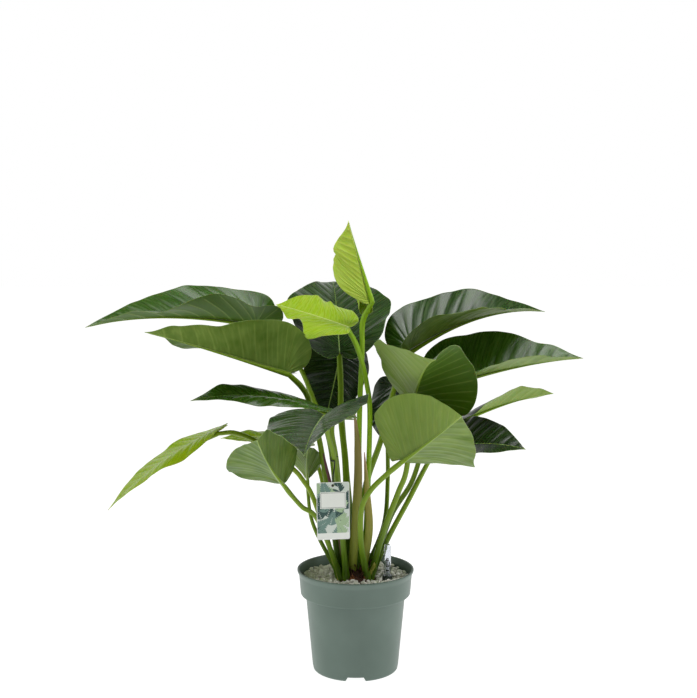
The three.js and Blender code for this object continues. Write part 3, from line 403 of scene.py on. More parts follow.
# heading is the way the midrib points seen from above, rise its slope at the base, droop and sweep how far
# it bends down and aside, roll and twist turn the blade about it, fold and curl lift its two halves; petiole
# has its radii at the crown and at the blade; a wave has its half, its place and spread along the margin,
# and how far it lifts and pushes out; tone is how light the top is, partly the leaf's own tone and partly
# painted light and shade, low for leaves that lie in shade and raised for one that lies in a shadow; under
# is painted light: how pale each half of the underside is painted for the light on it and through it
leaves = {
    "leaf_left_upper": dict(
        length=332, width=181, heading=188, rise=10, droop=24, sweep=-2, roll=-5, twist=-4,
        fold=(40, 37), curl=(-13, 0), opening=-9, base=(-181, 104, 636), petiole=(6.2, 4.4),
        route=((-27, 21, 178), (-46, 65, 399), (-79, 83, 493), (-106, 94, 555), (-138, 100, 597)),
        slant=(0.06, 0.16),
        waves=((1, 0.66, 0.09, -16, 0), (1, 0.42, 0.08, 12, 0), (1, 0.3, 0.05, -6, 0),
               (1, 0.18, 0.07, 20, 0), (-1, 0.14, 0.08, 46, 0)),
        kind="dark", tone=0.7, under=(-0.3, 0.1), stemTone=0.5),
    "leaf_left_broad": dict(
        length=297, width=171, heading=222, rise=18, droop=2, sweep=-12, roll=38, twist=-22,
        fold=(59, 55), curl=(-24, -16), opening=-22, base=(-120, -49, 561), petiole=(6.2, 4.6),
        route=((-28, -3, 178), (-63, -4, 411), (-84, -6, 498), (-97, -27, 531)),
        waves=((1, 0.93, 0.05, 0, 45), (1, 0.7, 0.09, 4, -20), (-1, 0.79, 0.12, -45, 10)),
        kind="dark", tone=0.5, under=(0.45, -0.2), stemTone=0.6),
    "leaf_left_low": dict(
        length=262, width=121, heading=182, rise=21, droop=33, sweep=10, roll=18, twist=-45,
        fold=(23, 32), curl=(-66, -56), opening=-10, base=(-36, -71, 488), petiole=(5.6, 4.2),
        route=((-19, -18, 178), (-32, -39, 381), (-42, -58, 455)),
        waves=((1, 0.5, 0.12, -2, -13), (-1, 0.85, 0.06, 14, 14)),
        kind="dark", tone=0.8, under=(0.5, 0.5), stemTone=0.4),
    "leaf_front_down": dict(
        length=249, width=178, heading=-99, rise=-2, droop=8, sweep=6, roll=10, twist=1,
        fold=(25, 23), curl=(-27, -32), opening=6, base=(-54, -165, 502), petiole=(5.6, 4.2),
        route=((-17, -28, 178), (-35, -89, 391), (-48, -132, 461)),
        waves=((1, 0.35, 0.08, 8, 0), (1, 0.6, 0.07, -7, 0), (-1, 0.55, 0.08, -6, 0)),
        kind="dark", tone=0.2, under=(0.5, 0.5), stemTone=0.5),
    "leaf_left_bright": dict(
        length=240, width=151, heading=192, rise=-24, droop=24, sweep=2, roll=26, twist=-18,
        fold=(6, 19), curl=(-52, 9), opening=-5, base=(-249, -48, 455), petiole=(5.6, 4.2),
        route=((-31, -14, 178), (-74, -24, 319), (-98, -34, 366), (-118, -41, 389),
               (-169, -44, 431), (-216, -47, 452)),
        slant=(0.12, 0.12), waves=((-1, 0.4, 0.09, 3, 0), (1, 0.6, 0.1, 2, -6)), ripple=1.1,
        kind="bright", tone=0.5, under=(0.6, 0.5), stemTone=0.6),
    "leaf_left_small": dict(
        length=161, width=115, heading=174, rise=8, droop=16, sweep=4, roll=-6, twist=-12,
        fold=(4, 3), curl=(2, -30), opening=1, base=(-95, 44, 421), petiole=(5.0, 3.8),
        route=((-16, 12, 178), (-48, 31, 282), (-70, 48, 372)),
        waves=((1, 0.5, 0.08, 4, 0), (-1, 0.4, 0.08, -5, 0)),
        kind="bright", tone=0.4, under=(0.5, 0.5), stemTone=0.4),
    "leaf_front_left": dict(
        length=245, width=185, heading=-100, rise=24, droop=-10, sweep=4, roll=27, twist=4,
        fold=(55, 51), curl=(-8, -38), opening=12, base=(-128, -97, 369), petiole=(5.2, 4.0),
        route=((-26, -23, 178), (-68, -53, 292), (-96, -73, 322), (-115, -86, 347)),
        waves=((-1, 0.3, 0.07, 6, 4), (-1, 0.6, 0.08, -6, 0), (1, 0.5, 0.08, 5, 0)),
        kind="dark", tone=0.5, under=(0.35, 0.2), stemTone=0.6),
    "leaf_front_small": dict(
        length=134, width=85, heading=-92, rise=35, droop=3, sweep=8, roll=3, twist=9,
        fold=(54, 59), curl=(-2, -20), opening=6, base=(-89, 14, 356), petiole=(4.6, 3.0),
        route=((-33, 7, 178), (-68, 9, 244), (-83, 10, 284), (-88, 12, 325)),
        kind="dark", tone=0.5, under=(0.4, 0.4), stemTone=0.5),
    "leaf_back_tall": dict(
        length=285, width=225, heading=93, rise=36, droop=22, sweep=1, roll=2, twist=1,
        fold=(38, 43), curl=(-6, -12), opening=-13, base=(-30, 93, 582), petiole=(8.6, 5.0),
        route=((-13, 25, 178), (-18, 62, 361), (-27, 78, 455), (-28, 88, 521)),
        waves=((1, 0.5, 0.07, 0, 8), (-1, 0.5, 0.07, 0, 8), (-1, 0.32, 0.06, 9, 0), (1, 0.2, 0.06, 8, 0),
               (-1, 0.12, 0.05, -8, 0), (1, 0.7, 0.08, -8, 0)),
        kind="dark", tone=0.3, under=(0.4, 0.4), stemTone=0.55),
    "leaf_back_hanging": dict(
        length=163, width=128, heading=-126, rise=-70, droop=-3, sweep=-2, roll=-42, twist=3,
        fold=(-5, 4), curl=(-30, -17), opening=0, base=(-28, 125, 581), petiole=(6.0, 4.4),
        route=((1, 30, 178), (-20, 87, 395), (-27, 110, 489)),
        waves=((1, 0.4, 0.08, 7, 0), (-1, 0.55, 0.08, 7, 0), (-1, 0.25, 0.06, -7, 0)),
        kind="dark", tone=0.0, under=(0.2, 0.2), stemTone=0.3),
    "leaf_lime": dict(
        length=178, width=165, heading=140, rise=13, droop=4, sweep=5, roll=-2, twist=-10,
        fold=(5, 22), curl=(-50, -30), opening=0, base=(-13, -11, 640), petiole=(5.6, 4.2),
        route=((17, 1, 178), (26, 2, 456), (20, -14, 538), (3, -15, 603)),
        slant=(0.05, 0.35),
        waves=((1, 0.25, 0.1, 5, -12), (1, 0.6, 0.15, 2, -38), (1, 0.84, 0.08, -6, -20),
               (-1, 0.4, 0.2, 0, -22), (-1, 0.78, 0.1, 0, 40), (-1, 0.91, 0.08, 0, 110)),
        kind="lime", tone=0.6, under=(0.6, 0.6), stemTone=0.7),
    "leaf_young_rolled": dict(
        length=152, width=114, heading=178, rise=75, droop=0, sweep=0, roll=150, twist=5,
        fold=(0, 0), curl=(260, 90), opening=55, base=(26, -15, 686), petiole=(5.8, 4.6),
        route=((3, -3, 178), (6, 2, 410), (8, -1, 505), (12, -4, 598), (13, -4, 650)),
        slant=(0, 0.5),
        waves=((-1, 0.16, 0.1, 0, 15), (-1, 0.5, 0.14, 0, -10), (-1, 0.84, 0.1, 0, 16),
               (1, 0.72, 0.22, 0, -34)),
        kind="lime", tone=0.6, under=(0.6, 0.6), stemTone=0.7, columns=18),
    "leaf_right_upper": dict(
        length=271, width=209, heading=-6, rise=33, droop=39, sweep=7, roll=10, twist=-1,
        fold=(37, 41), curl=(8, -10), opening=-23, base=(101, 73, 590), petiole=(7.4, 5.2),
        route=((4, 18, 178), (5, 31, 254), (22, 45, 346), (48, 51, 422), (75, 66, 524)),
        slant=(0.05, 0.35),
        waves=((-1, 0.28, 0.1, 0, 26), (-1, 0.75, 0.08, -8, 0), (1, 0.46, 0.1, 0, -9),
               (1, 0.66, 0.06, 5, 0)),
        kind="dark", tone=0.3, under=(0.4, 0.5), stemTone=0.5),
    "leaf_right_long": dict(
        length=258, width=191, heading=-6, rise=17, droop=13, sweep=1, roll=16, twist=-7,
        fold=(34, 30), curl=(7, -15), opening=8, base=(167, 30, 531), petiole=(6.0, 4.4),
        route=((31, 10, 178), (65, 19, 281), (105, 21, 348), (130, 25, 427)),
        waves=((1, 0.88, 0.05, 0, 14), (1, 0.77, 0.05, 0, -12), (1, 0.45, 0.08, -6, 0),
               (-1, 0.5, 0.12, 0, 12)),
        # tone raised to paint light onto a top that lies in the shadow of leaf_right_upper
        kind="dark", tone=1.2, under=(0.4, 0.55), stemTone=0.5),
    "leaf_front_right": dict(
        length=276, width=218, heading=-87, rise=33, droop=24, sweep=4, roll=-29, twist=45,
        fold=(31, 35), curl=(-29, -9), opening=4, base=(101, -71, 509), petiole=(6.0, 4.4),
        route=((28, -18, 178), (52, -33, 270), (77, -47, 342), (92, -62, 393)),
        waves=((1, 0.85, 0.1, 0, 30), (-1, 0.6, 0.08, 6, 0)),
        kind="dark", tone=0.4, under=(-0.25, 0.9), stemTone=0.6),
    "leaf_front_shield": dict(
        length=261, width=204, heading=-67, rise=25, droop=-1, sweep=-5, roll=-33, twist=-25,
        fold=(37, 42), curl=(-28, -12), opening=2, base=(81, -115, 415), petiole=(6.0, 4.4),
        route=((21, -25, 178), (10, -51, 247), (10, -72, 316), (25, -89, 354), (53, -102, 386)),
        waves=((-1, 0.1, 0.06, 0, -75), (-1, 0.2, 0.07, 4, 16), (1, 0.22, 0.08, 0, -14),
               (1, 0.42, 0.06, 0, 14), (1, 0.6, 0.08, -6, 0)),
        kind="dark", tone=0.4, under=(0.4, 0.8), stemTone=0.6),
    "leaf_right_slim": dict(
        length=240, width=146, heading=14, rise=21, droop=20, sweep=15, roll=-25, twist=-32,
        fold=(31, 6), curl=(-5, -30), opening=-2, base=(178, 92, 442), petiole=(5.2, 3.8),
        route=((27, 19, 178), (94, 56, 293), (131, 75, 360)),
        waves=((1, 0.55, 0.08, -5, 0), (-1, 0.7, 0.07, 6, 0)),
        kind="dark", tone=0.5, under=(0.9, 0.9), stemTone=0.5),
    "leaf_right_dark": dict(
        length=207, width=154, heading=-40, rise=19, droop=26, sweep=0, roll=12, twist=14,
        fold=(27, 9), curl=(-12, -8), opening=-4, base=(141, 14, 407), petiole=(5.8, 4.2),
        route=((30, -2, 178), (62, 3, 248), (101, 10, 320), (133, 14, 383)),
        waves=((1, 0.6, 0.08, 6, 0), (-1, 0.65, 0.07, -6, -6)),
        kind="dark", tone=0.1, under=(0.3, 0.3), stemTone=0.5),
    "leaf_right_hidden": dict(
        length=154, width=123, heading=-89, rise=-61, droop=-1, sweep=15, roll=46, twist=-7,
        fold=(13, 7), curl=(-24, -9), opening=14, base=(76, 104, 522), petiole=(4.8, 3.6),
        route=((20, 26, 178), (54, 51, 258), (62, 71, 341), (63, 92, 443)),
        waves=((1, 0.35, 0.07, 6, 0), (-1, 0.6, 0.08, 6, 0)),
        kind="dark", tone=0.05, under=(0.2, 0.2), stemTone=0.4),
}


def midribFrame(leaf, shares):
    # at shares of the midrib: the way it points, the way to its left, and the way that the blade faces
    s = np.clip(shares, 0, 1)
    heading = np.radians(leaf["heading"] + leaf["sweep"] * s)
    rise = np.radians(leaf["rise"] - leaf["droop"] * s ** 1.3)
    roll = np.radians(leaf["roll"] + leaf["twist"] * s)[..., None]
    along = np.stack([np.cos(rise) * np.cos(heading), np.cos(rise) * np.sin(heading), np.sin(rise)], axis=-1)
    level = np.stack([-np.sin(heading), np.cos(heading), np.zeros_like(heading)], axis=-1)
    side = level * np.cos(roll) + np.cross(along, level) * np.sin(roll)
    return along, side, np.cross(along, side)


def midribPoint(leaf, shares):
    steps = 16
    point = np.zeros(np.shape(shares) + (3,)) + leaf["base"]
    for i in range(steps):
        along = midribFrame(leaf, shares * (i + 0.5) / steps)[0]
        point = point + along * (leaf["length"] * shares / steps)[..., None]
    return point


def bladePoint(leaf, sign, shares, out):
    # each half turns up from the midrib by its fold and bends on by its curl
    fold = np.where(sign > 0, leaf["fold"][0], leaf["fold"][1]) + leaf["opening"] * np.clip(shares, 0, 1)
    curl = np.where(sign > 0, leaf["curl"][0] or 0.01, leaf["curl"][1] or 0.01)
    fold = np.radians(fold)
    bend = np.radians(curl) / (leaf["width"] / 2)
    turn = fold + bend * out
    side, normal = midribFrame(leaf, shares)[1:]
    across = ((np.sin(turn) - np.sin(fold)) / bend * sign)[..., None]
    above = ((np.cos(fold) - np.cos(turn)) / bend)[..., None]
    facing = normal * np.cos(turn)[..., None] - side * (sign * np.sin(turn))[..., None]
    return midribPoint(leaf, shares) + side * across + normal * above, facing


def bladeEdge(leaf, sign, v, margin):
    # how far along and out the margin of one half is, and how far it lifts there
    along, out = margin[..., 0], margin[..., 1]
    slant = np.where(sign > 0, *leaf.get("slant", (0, 0)))
    push, lift = np.zeros_like(v), np.zeros_like(v)
    for half, place, spread, lifted, pushed in leaf.get("waves", ()):
        share = np.where(sign == half, np.exp(-((v - place) / spread) ** 2), 0)
        push, lift = push + pushed * share, lift + lifted * share
    return along + slant * out * (1 - along), out * leaf["width"] / 2 + push * out, lift * out


def veinStarts(v, margin):
    # where each row leaves the midrib: the lobes' veins leave it together, the others spread out to the tip
    lobes, gathered = blade["lobes"], blade["gathered"]
    first = len(v) // 4  # past the lobes' backward part, from where the margin only runs forward
    widest = np.interp(lobes, margin[first:, 0], v[first:])
    beyond = np.clip(margin[:, 0] - lobes, 0, 1) / (1 - lobes)
    forward = gathered + (1 - gathered) * beyond ** blade["bunching"]
    return np.where(v < widest, gathered * v / widest, forward)


def bladeRelief(leaf, seed, v, t, sign):
    # the skin stands up between the side veins, the margin ripples, and the midrib lies in a channel
    rng = np.random.default_rng(seed)
    shift, _ = rng.uniform(-0.2, 0.2, 2)
    puff = np.abs(np.sin(np.pi * (v * blade["sideVeins"]))) ** 0.75 - 0.6
    fade = smoothStep(0.02, 0.2, t) * (1 - 0.85 * smoothStep(0.7, 1.0, t)) * smoothStep(0, 0.04, v * (1 - v))
    waves = np.zeros_like(sign)
    for cycles, size in blade["ripples"]:
        for half in (1.0, -1.0):
            wave = size * np.sin(2 * np.pi * (cycles + shift) * v + rng.uniform(0, 2 * np.pi))
            waves += np.where(sign == half, wave, 0)
    calm = np.sin(np.pi * v) ** 0.7
    channel = np.zeros(t.shape[1])
    centre = t.shape[1] // 2
    channel[centre] = -blade["ribLift"]
    channel[[centre - 1, centre + 1]] = blade["ribLift"] * 0.6
    ripple = waves * leaf.get("ripple", blade["ripple"]) * t ** 2.2 * calm
    return blade["puff"] * puff * fade + ripple + channel * (1 - v ** 3)


def bladeFaces(rows, columns):
    # quads of both skins, and a wall round the margin; the first and the last row are one point each
    index = np.arange((rows + 1) * columns).reshape(rows + 1, columns)
    index[0], index[-1] = index[0, columns // 2], index[-1, columns // 2]
    under = index.size
    top, bottom = [], []
    for i in range(rows):
        for j in range(columns - 1):
            corners = (index[i, j], index[i, j + 1], index[i + 1, j + 1], index[i + 1, j])
            face = tuple(dict.fromkeys(int(k) for k in corners))
            if len(face) > 2:
                top.append(face)
                bottom.append(tuple(k + under for k in face[::-1]))
        for j, flip in ((0, False), (columns - 1, True)):
            a, b = int(index[i, j]), int(index[i + 1, j])
            wall = (a, b, b + under, a + under)
            top.append(wall[::-1] if flip else wall)
    return top, bottom


def bladeParts(leaf, seed):
    # rows follow the side veins from the sinus to the tip, columns run from margin to margin
    rows = blade["sideVeins"] * blade["rowsPerVein"]
    inner = np.linspace(0.08, 0.94, leaf.get("columns", blade["columns"]))
    half = np.concatenate([[0, 0.022], inner, [0.982, 1]])
    signed = np.concatenate([-half[::-1], half[1:]])
    centre, columns = len(half) - 1, len(signed)
    sign = np.where(signed <= 0, 1.0, -1.0)[None, :] * np.ones((rows + 1, 1))
    v, t = np.linspace(0, 1, rows + 1)[:, None], np.abs(signed)[None, :]
    # widths count for 0.3 where the rows are spaced along the margin, so that the lobes get fewer of them
    margin = pointsAt([(x, y, 0) for x, y in halfOutline], v[:, 0], (1, 0.3, 1))
    start = veinStarts(v[:, 0], margin)[:, None]
    marginAlong, marginOut, marginLift = bladeEdge(leaf, sign, v + 0 * t, margin[:, None])
    shares, out = start + (marginAlong - start) * t ** blade["bow"], marginOut * t
    points, facing = bladePoint(leaf, sign, shares, out)
    facing[:, centre] = midribFrame(leaf, shares[:, centre])[2]
    facing[[0, -1]] = midribFrame(leaf, shares[[0, -1]])[2]
    lift = bladeRelief(leaf, seed, v, t, sign) + marginLift * t ** 2
    thick = blade["thickness"] - (blade["thickness"] - blade["edgeThickness"]) * smoothStep(0.75, 1, t)
    upper, lower = (points + facing * (lift + way * thick / 2)[..., None] for way in (1, -1))
    # what the finishes read: distance from the midrib and from the margin, vein count, share out, and tone,
    # which is partly painted light and shade on top and painted light below
    middle = 1 - smoothStep(0, 0.06, t)
    # each half of the underside is painted paler or darker for the light that falls on it and through it,
    # blended at the midrib
    underPaintedLight = np.where(sign > 0, *leaf["under"]) * (1 - middle) + middle * sum(leaf["under"]) / 2
    vein = v * blade["sideVeins"]

    def bothFaces(above, below):
        return np.concatenate([np.broadcast_to(values, out.shape).ravel() for values in (above, below)])

    rib, edge = out * (1 + 1.6 * shares.clip(0, 1)), marginOut - out
    attributes = dict(
        rib=bothFaces(rib, rib), edge=bothFaces(edge, edge), out=bothFaces(t, t), seed=float(seed),
        vein=bothFaces(vein, vein + blade["underVeins"]), tone=bothFaces(leaf["tone"], underPaintedLight))
    return np.vstack([upper.reshape(-1, 3), lower.reshape(-1, 3)]), *bladeFaces(rows, columns), attributes


def petioleLine(leaf, shares):
    # centres and radii from the crown to just under the blade's base
    thick, thin = leaf["petiole"]
    end = np.array(leaf["base"]) - midribFrame(leaf, np.array([0.0]))[2][0] * thin
    return pointsAt([*leaf["route"], tuple(end)], shares), thick + (thin - thick) * shares ** 0.7


def stemParts(leaf, seed):
    # petiole from the crown to the blade, then on under it as the midrib, with a channelled upper side
    thick, thin = leaf["petiole"]
    shares, ribShares = np.linspace(0, 1, stem["rings"]), np.linspace(0.02, 0.97, stem["ribRings"])
    line, radii = petioleLine(leaf, shares)
    ribRadii = np.maximum(thin * (1 - ribShares) ** 1.4, 0.3)
    ribLine = midribPoint(leaf, ribShares) - midribFrame(leaf, ribShares)[2] * (ribRadii + 0.25)[:, None]
    buried = line[0] + unit(line[0] - line[1]) * np.array(stem["buried"])[:, None]
    line = np.vstack([buried, line, ribLine])
    along = np.concatenate([[0, 0], shares, np.ones(stem["ribRings"])])
    radii = np.concatenate([[thick, thick], radii, ribRadii])
    neck = stem["neckFlare"] * np.exp(-((along - 0.93) / 0.05) ** 2) * (radii < thin * 1.2)
    flare = 1 + stem["footFlare"] * np.exp(-(along / 0.06) ** 2) + neck
    flare[-stem["ribRings"]:] = 1
    turn = fromTop(stem["sides"])
    channel = 1 - stem["channel"] * np.exp(-(turn / 0.5) ** 2)
    channel += stem["shoulder"] * np.exp(-((np.abs(turn) - 0.85) / 0.3) ** 2)
    sections = (radii * flare)[:, None, None] * roundSection(stem["sides"]) * channel[:, None]
    last = midribFrame(leaf, ribShares[-1:])[2][0]
    points, faces = sweptTube(line, sections, last, fromEnd=True)
    around, grooveShade = np.abs(turn) / np.pi * stem["fibres"], np.exp(-(turn / 0.6) ** 2)
    count, along = len(line), np.repeat(along, stem["sides"])
    attributes = dict(vein=np.tile(around, count), out=np.tile(grooveShade, count), along=along,
                      tone=leaf["stemTone"], seed=float(seed))
    return points, faces, attributes


def growLeaf(name, leaf, seed):
    builder = Builder(("rib", "edge", "vein", "out", "along", "tone", "seed"))
    points, top, bottom, attributes = bladeParts(leaf, seed)
    builder.add(points, top, 0, **attributes)
    builder.faces += bottom
    builder.slots += [1] * len(bottom)
    points, faces, attributes = stemParts(leaf, seed)
    builder.add(points, faces, 2, **attributes)
    placePiece(builder.make(name + "_grown", leafMaterials[leaf["kind"]]), name)


for seed, (leafName, leafRecord) in enumerate(leaves.items(), 11):
    growLeaf(leafName, leafRecord, seed)
print("leaves grown:", len(leaves))


# grower's pot: injection-moulded polypropylene, satin grey-green

pot = {
    "sides": 216, "wall": 2.2, "sharpAngle": 32,
    "profile": [  # radius, height and corner radius, from the foot's middle up to the lip
        (0, 0), (52, 0, 1), (57, 9, 1.5), (72, 9, 1.5), (74, 0, 1), (77.8, 0, 1.6), (79.7, 3.2, 2.2),
        (92.6, 141.2, 1.2), (101, 142.6, 1.4), (102.2, 144.6, 1.4), (105, 178.5, 3), (106.4, 182, 2.5),
        (108.5, 187, 2.2), (108.2, 189.5, 1), (107, 190, 0.8), (105.2, 190, 0.9), (104.2, 188.2, 1.4),
    ],
    "inside": [(105, 180), (102.4, 146.8), (92.6, 143.6), (80.6, 14.5)],  # radii before the wall comes off
    "floor": [(77, 11.5, 2.0), (55, 11.5, 1.5), (50, 2.5, 1.5), (0, 2.5)],
    "notch": {"top": 29, "foot": 38, "height": 8.3, "reach": 30, "from": 79.7},
    "colours": ("#62756b", "#5a6d63"),
}


def plasticFinish(name, colour, darker, grain=0.35):
    # moulded plastic: an even satin skin with faint flow shades about 70 mm across, and a spark-eroded grain
    # that is drawn 1.2 mm wide so that it shows
    material, tree, shader = newMaterial(name, IOR=1.49, Roughness=0.42)
    where = addNode(tree, "TexCoord").outputs["Object"]
    flow = addNode(tree, "TexNoise", {"Scale": 14.0, "Detail": 2.0}, {"Vector": where}).outputs[0]
    share = addNode(tree, "MapRange", {1: 0.35, 2: 0.7}, {0: flow}).outputs[0]
    shades = addNode(tree, "Mix", {6: toLinear(colour), 7: toLinear(darker)}, {0: share},
                     **colourMix).outputs[2]
    fine = addNode(tree, "TexNoise", {"Scale": 1000 / 1.2, "Detail": 2.0}, {"Vector": where}).outputs[0]
    roughness = addNode(tree, "MapRange", {1: 0.3, 2: 0.7, 3: 0.38, 4: 0.46}, {0: fine}).outputs[0]
    dressShader(tree, shader, shades, fine, grain, 0.04, roughness)
    return material


def notchTool(finish):
    # four wedges through the foot ring, wider at the floor
    notch = pot["notch"]
    cutter = Builder()
    below, extra = -2, 1  # the wedge goes on under the floor, and widens with it
    for quarter in range(4):
        turn = np.array(Matrix.Rotation(quarter * math.pi / 2, 3, "Z"))
        corners = []
        for y in (-notch["from"] - notch["reach"] / 4, -notch["from"] + notch["reach"] * 0.75):
            corners += [(-notch["foot"] / 2 - extra, y, below), (notch["foot"] / 2 + extra, y, below),
                        (notch["top"] / 2, y, notch["height"]), (-notch["top"] / 2, y, notch["height"])]
        box = [(0, 1, 2, 3), (7, 6, 5, 4), (0, 4, 5, 1), (1, 5, 6, 2), (2, 6, 7, 3), (3, 7, 4, 0)]
        cutter.add(np.array(corners) @ turn.T, box)
    return cutter.make("notch_tool", [finish])


def buildPot():
    inside = [(r - pot["wall"], z, 2.0) for r, z in pot["inside"]]
    points, faces = turnedShape(roundedProfile([*pot["profile"], *inside, *pot["floor"]]), pot["sides"])
    green = plasticFinish("satin polypropylene, grey-green", *pot["colours"])
    piece = makeObject("growers_pot", points, faces, [green])
    tool = notchTool(green)
    cut = piece.modifiers.new("notches", "BOOLEAN")
    cut.object, cut.operation, cut.solver = tool, "DIFFERENCE", "EXACT"
    bpy.context.view_layer.objects.active = piece
    bpy.ops.object.modifier_apply(modifier=cut.name)
    bpy.data.objects.remove(tool)
    piece.data.polygons.foreach_set("use_smooth", [True] * len(piece.data.polygons))
    piece.data.set_sharp_from_angle(angle=math.radians(pot["sharpAngle"]))
    placePiece(piece, "pot")


buildPot()
print("pot turned")


# pumice: crushed porous stone in grains of 7 to 14 mm over a darker bed, whose colour is painted shade in the
# gaps between the grains

pumice = {
    "level": 174, "radius": 99, "seed": 5,
    "grains": 520, "size": (3.4, 7.0),  # number and radii
    "cuts": 9, "facets": (0.6, 0.88), "dents": 4,  # broken sides, how far out they lie, and worn dents
    "lowerShare": 0.62, "lower": -3.4, "layer": 4.2, "spread": 1.2,  # two layers, heights from the level
    "closest": 0.8,  # of the sum of two radii
    "crown": 27, "gauge": (59, -14, 9.5),  # kept free: a radius, and a place with its radius
    "bedDrop": 6, "bedWave": 1.6, "bedSides": 120, "gap": 0.4,
    "bed": [(0, 3), (49.5, 3), (54.5, 12), (76, 12)],  # the bed's underside, radius and height
    "poreSize": 2.4,
}


def stoneFinish(name, light, dark, poreShade):
    # unglazed volcanic stone: matt, pale, full of pores 1 to 2 mm across, which are painted darker as the
    # shade in them
    material, tree, shader = newMaterial(name, IOR=1.5, Roughness=0.95)
    where = addNode(tree, "TexCoord").outputs["Object"]
    tint = addNode(tree, "Attribute", attribute_name="tint").outputs["Fac"]
    stone = addNode(tree, "Mix", {6: toLinear(dark), 7: toLinear(light)}, {0: tint}, **colourMix).outputs[2]
    pores = addNode(tree, "TexNoise", {"Scale": 1000 / pumice["poreSize"], "Detail": 4.0, "Roughness": 0.7},
                    {"Vector": where}).outputs[0]
    hollow = addNode(tree, "MapRange", {1: 0.3, 2: 0.46, 3: 1.0, 4: 0.0}, {0: pores}, **eased).outputs[0]
    share = addNode(tree, "Math", {1: 0.6}, {0: hollow}, **times).outputs[0]
    colour = addNode(tree, "Mix", {7: toLinear(poreShade)}, {0: share, 6: stone}, **colourMix).outputs[2]
    dressShader(tree, shader, colour, pores, 0.8, 1.1)
    return material


def roundGrain():
    ball = bmesh.new()
    bmesh.ops.create_icosphere(ball, subdivisions=3, radius=1)
    points = np.array([v.co for v in ball.verts])
    faces = [tuple(v.index for v in f.verts) for f in ball.faces]
    ball.free()
    return points, faces


def brokenGrain(rng, ball, size):
    # a ball cut flat on several sides, then worn
    shape = ball * rng.uniform(0.78, 1.2, 3)
    for _ in range(pumice["cuts"]):
        way = unit(rng.normal(size=3))
        over = shape @ way - rng.uniform(*pumice["facets"])
        shape = shape - np.maximum(over, 0)[:, None] * way * 0.92
    for _ in range(pumice["dents"]):
        way = rng.normal(size=3) * 2.6
        shape = shape * (1 + 0.045 * np.sin(shape @ way + rng.uniform(0, 6)))[:, None]
    turn = np.array(Euler(rng.uniform(0, 6.28, 3)).to_matrix())
    return shape @ turn.T * size


def pumiceBed():
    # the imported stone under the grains: a lathe inside the pot's wall, with a wavy top
    bed = pumice["level"] - pumice["bedDrop"]
    wall = [(r - pot["wall"] - pumice["gap"], z) for r, z in pot["inside"]][::-1]
    (r1, z1), (r0, z0) = wall[2:]
    rim = r1 + (r0 - r1) * (bed - z1) / (z0 - z1)
    rings = [(r, bed) for r in range(96, 2, -4)]
    profile = [*pumice["bed"], *wall[:3], (rim, bed), *rings, (0, bed)]
    points, faces = turnedShape(profile, pumice["bedSides"])
    top = np.abs(points[:, 2] - bed) < 0.01
    points[top, 2] += pumice["bedWave"] * np.sin(points[top, 0] * 0.55) * np.sin(points[top, 1] * 0.6)
    return points, faces


def buildPumice():
    rng = np.random.default_rng(pumice["seed"])
    builder = Builder(("tint",))
    # the bed takes the darker first finish: painted shade in the gaps between the grains
    builder.add(*pumiceBed(), 0, tint=0.0)
    ball, ballFaces = roundGrain()
    gaugeX, gaugeY, gaugeRadius = pumice["gauge"]
    closest = pumice["closest"]
    placed, tries, mostTries = [], 0, 60000
    while len(placed) < pumice["grains"] and tries < mostTries:
        tries += 1
        upper = len(placed) > pumice["grains"] * pumice["lowerShare"]
        size = rng.uniform(*pumice["size"])
        r = math.sqrt(rng.uniform(0, 1)) * (pumice["radius"] - size * closest)
        a = rng.uniform(0, 2 * math.pi)
        x, y = r * math.cos(a), r * math.sin(a)
        if r < pumice["crown"] or math.hypot(x - gaugeX, y - gaugeY) < gaugeRadius + size * closest:
            continue
        z = pumice["level"] + pumice["lower"] + rng.uniform(-pumice["spread"], pumice["spread"])
        z += upper * pumice["layer"]
        if any((x - px) ** 2 + (y - py) ** 2 + (z - pz) ** 2 < (closest * (size + s)) ** 2
               for px, py, pz, s in placed):
            continue
        placed.append((x, y, z, size))
        tint = min(1.0, max(0.0, rng.normal(0.66, 0.24)))
        builder.add(brokenGrain(rng, ball, size) * (1, 1, 0.85) + (x, y, z), ballFaces, 1, tint=tint)
    print("pumice grains:", len(placed), "after", tries, "tries")
    # the first finish is painted shade for the bed between the grains, the second the grains' own pale stone
    finishes = [stoneFinish("pumice bed, painted shade between grains", "#8d887c", "#696459", "#3d3a33"),
                stoneFinish("crushed pumice", "#fbf8f4", "#d9d4cb", "#857f76")]
    placePiece(builder.make("pumice_grains", finishes), "fill")


buildPumice()
print("pumice poured")


# crown: the stubby stem, wrapped in dry brown husk with torn fibres

crown = {
    "profile": [  # radius and height over the pumice
        (0, -70), (22, -70), (36, -28), (39.5, -12), (39.5, -2), (37, 3), (32, 8), (22, 13), (12, 16),
        (0, 17)],
    "rings": 34, "sides": 96, "seed": 8,
    "ribs": ((0.8, 13), (0.6, 29)),  # height and number of the ridges round it
    "strips": 34, "stripHeight": (14, 34), "stripWidth": (7, 15), "stripThickness": 0.5,
    "flaps": [  # place, height, width and slot
        ((-33, -22), 56, 9, 2), ((20, -31), 30, 14, 1), ((-6, -36), 22, 12, 1), ((27, -24), 40, 12, 2)],
    "fibres": 60, "fibreThickness": (0.7, 0.25), "fibreRings": 10,
    "finishes": [  # dark, middle and tan
        ("dry leaf husk", "#2a1210", "#5a2c1c", "#a37a4c"),
        ("fresh torn husk, orange-brown", "#6a3416", "#a8622a", "#c89050"),
        ("fading sheath, yellow-green", "#7c8c14", "#b4b83a", "#cdb878")],
}


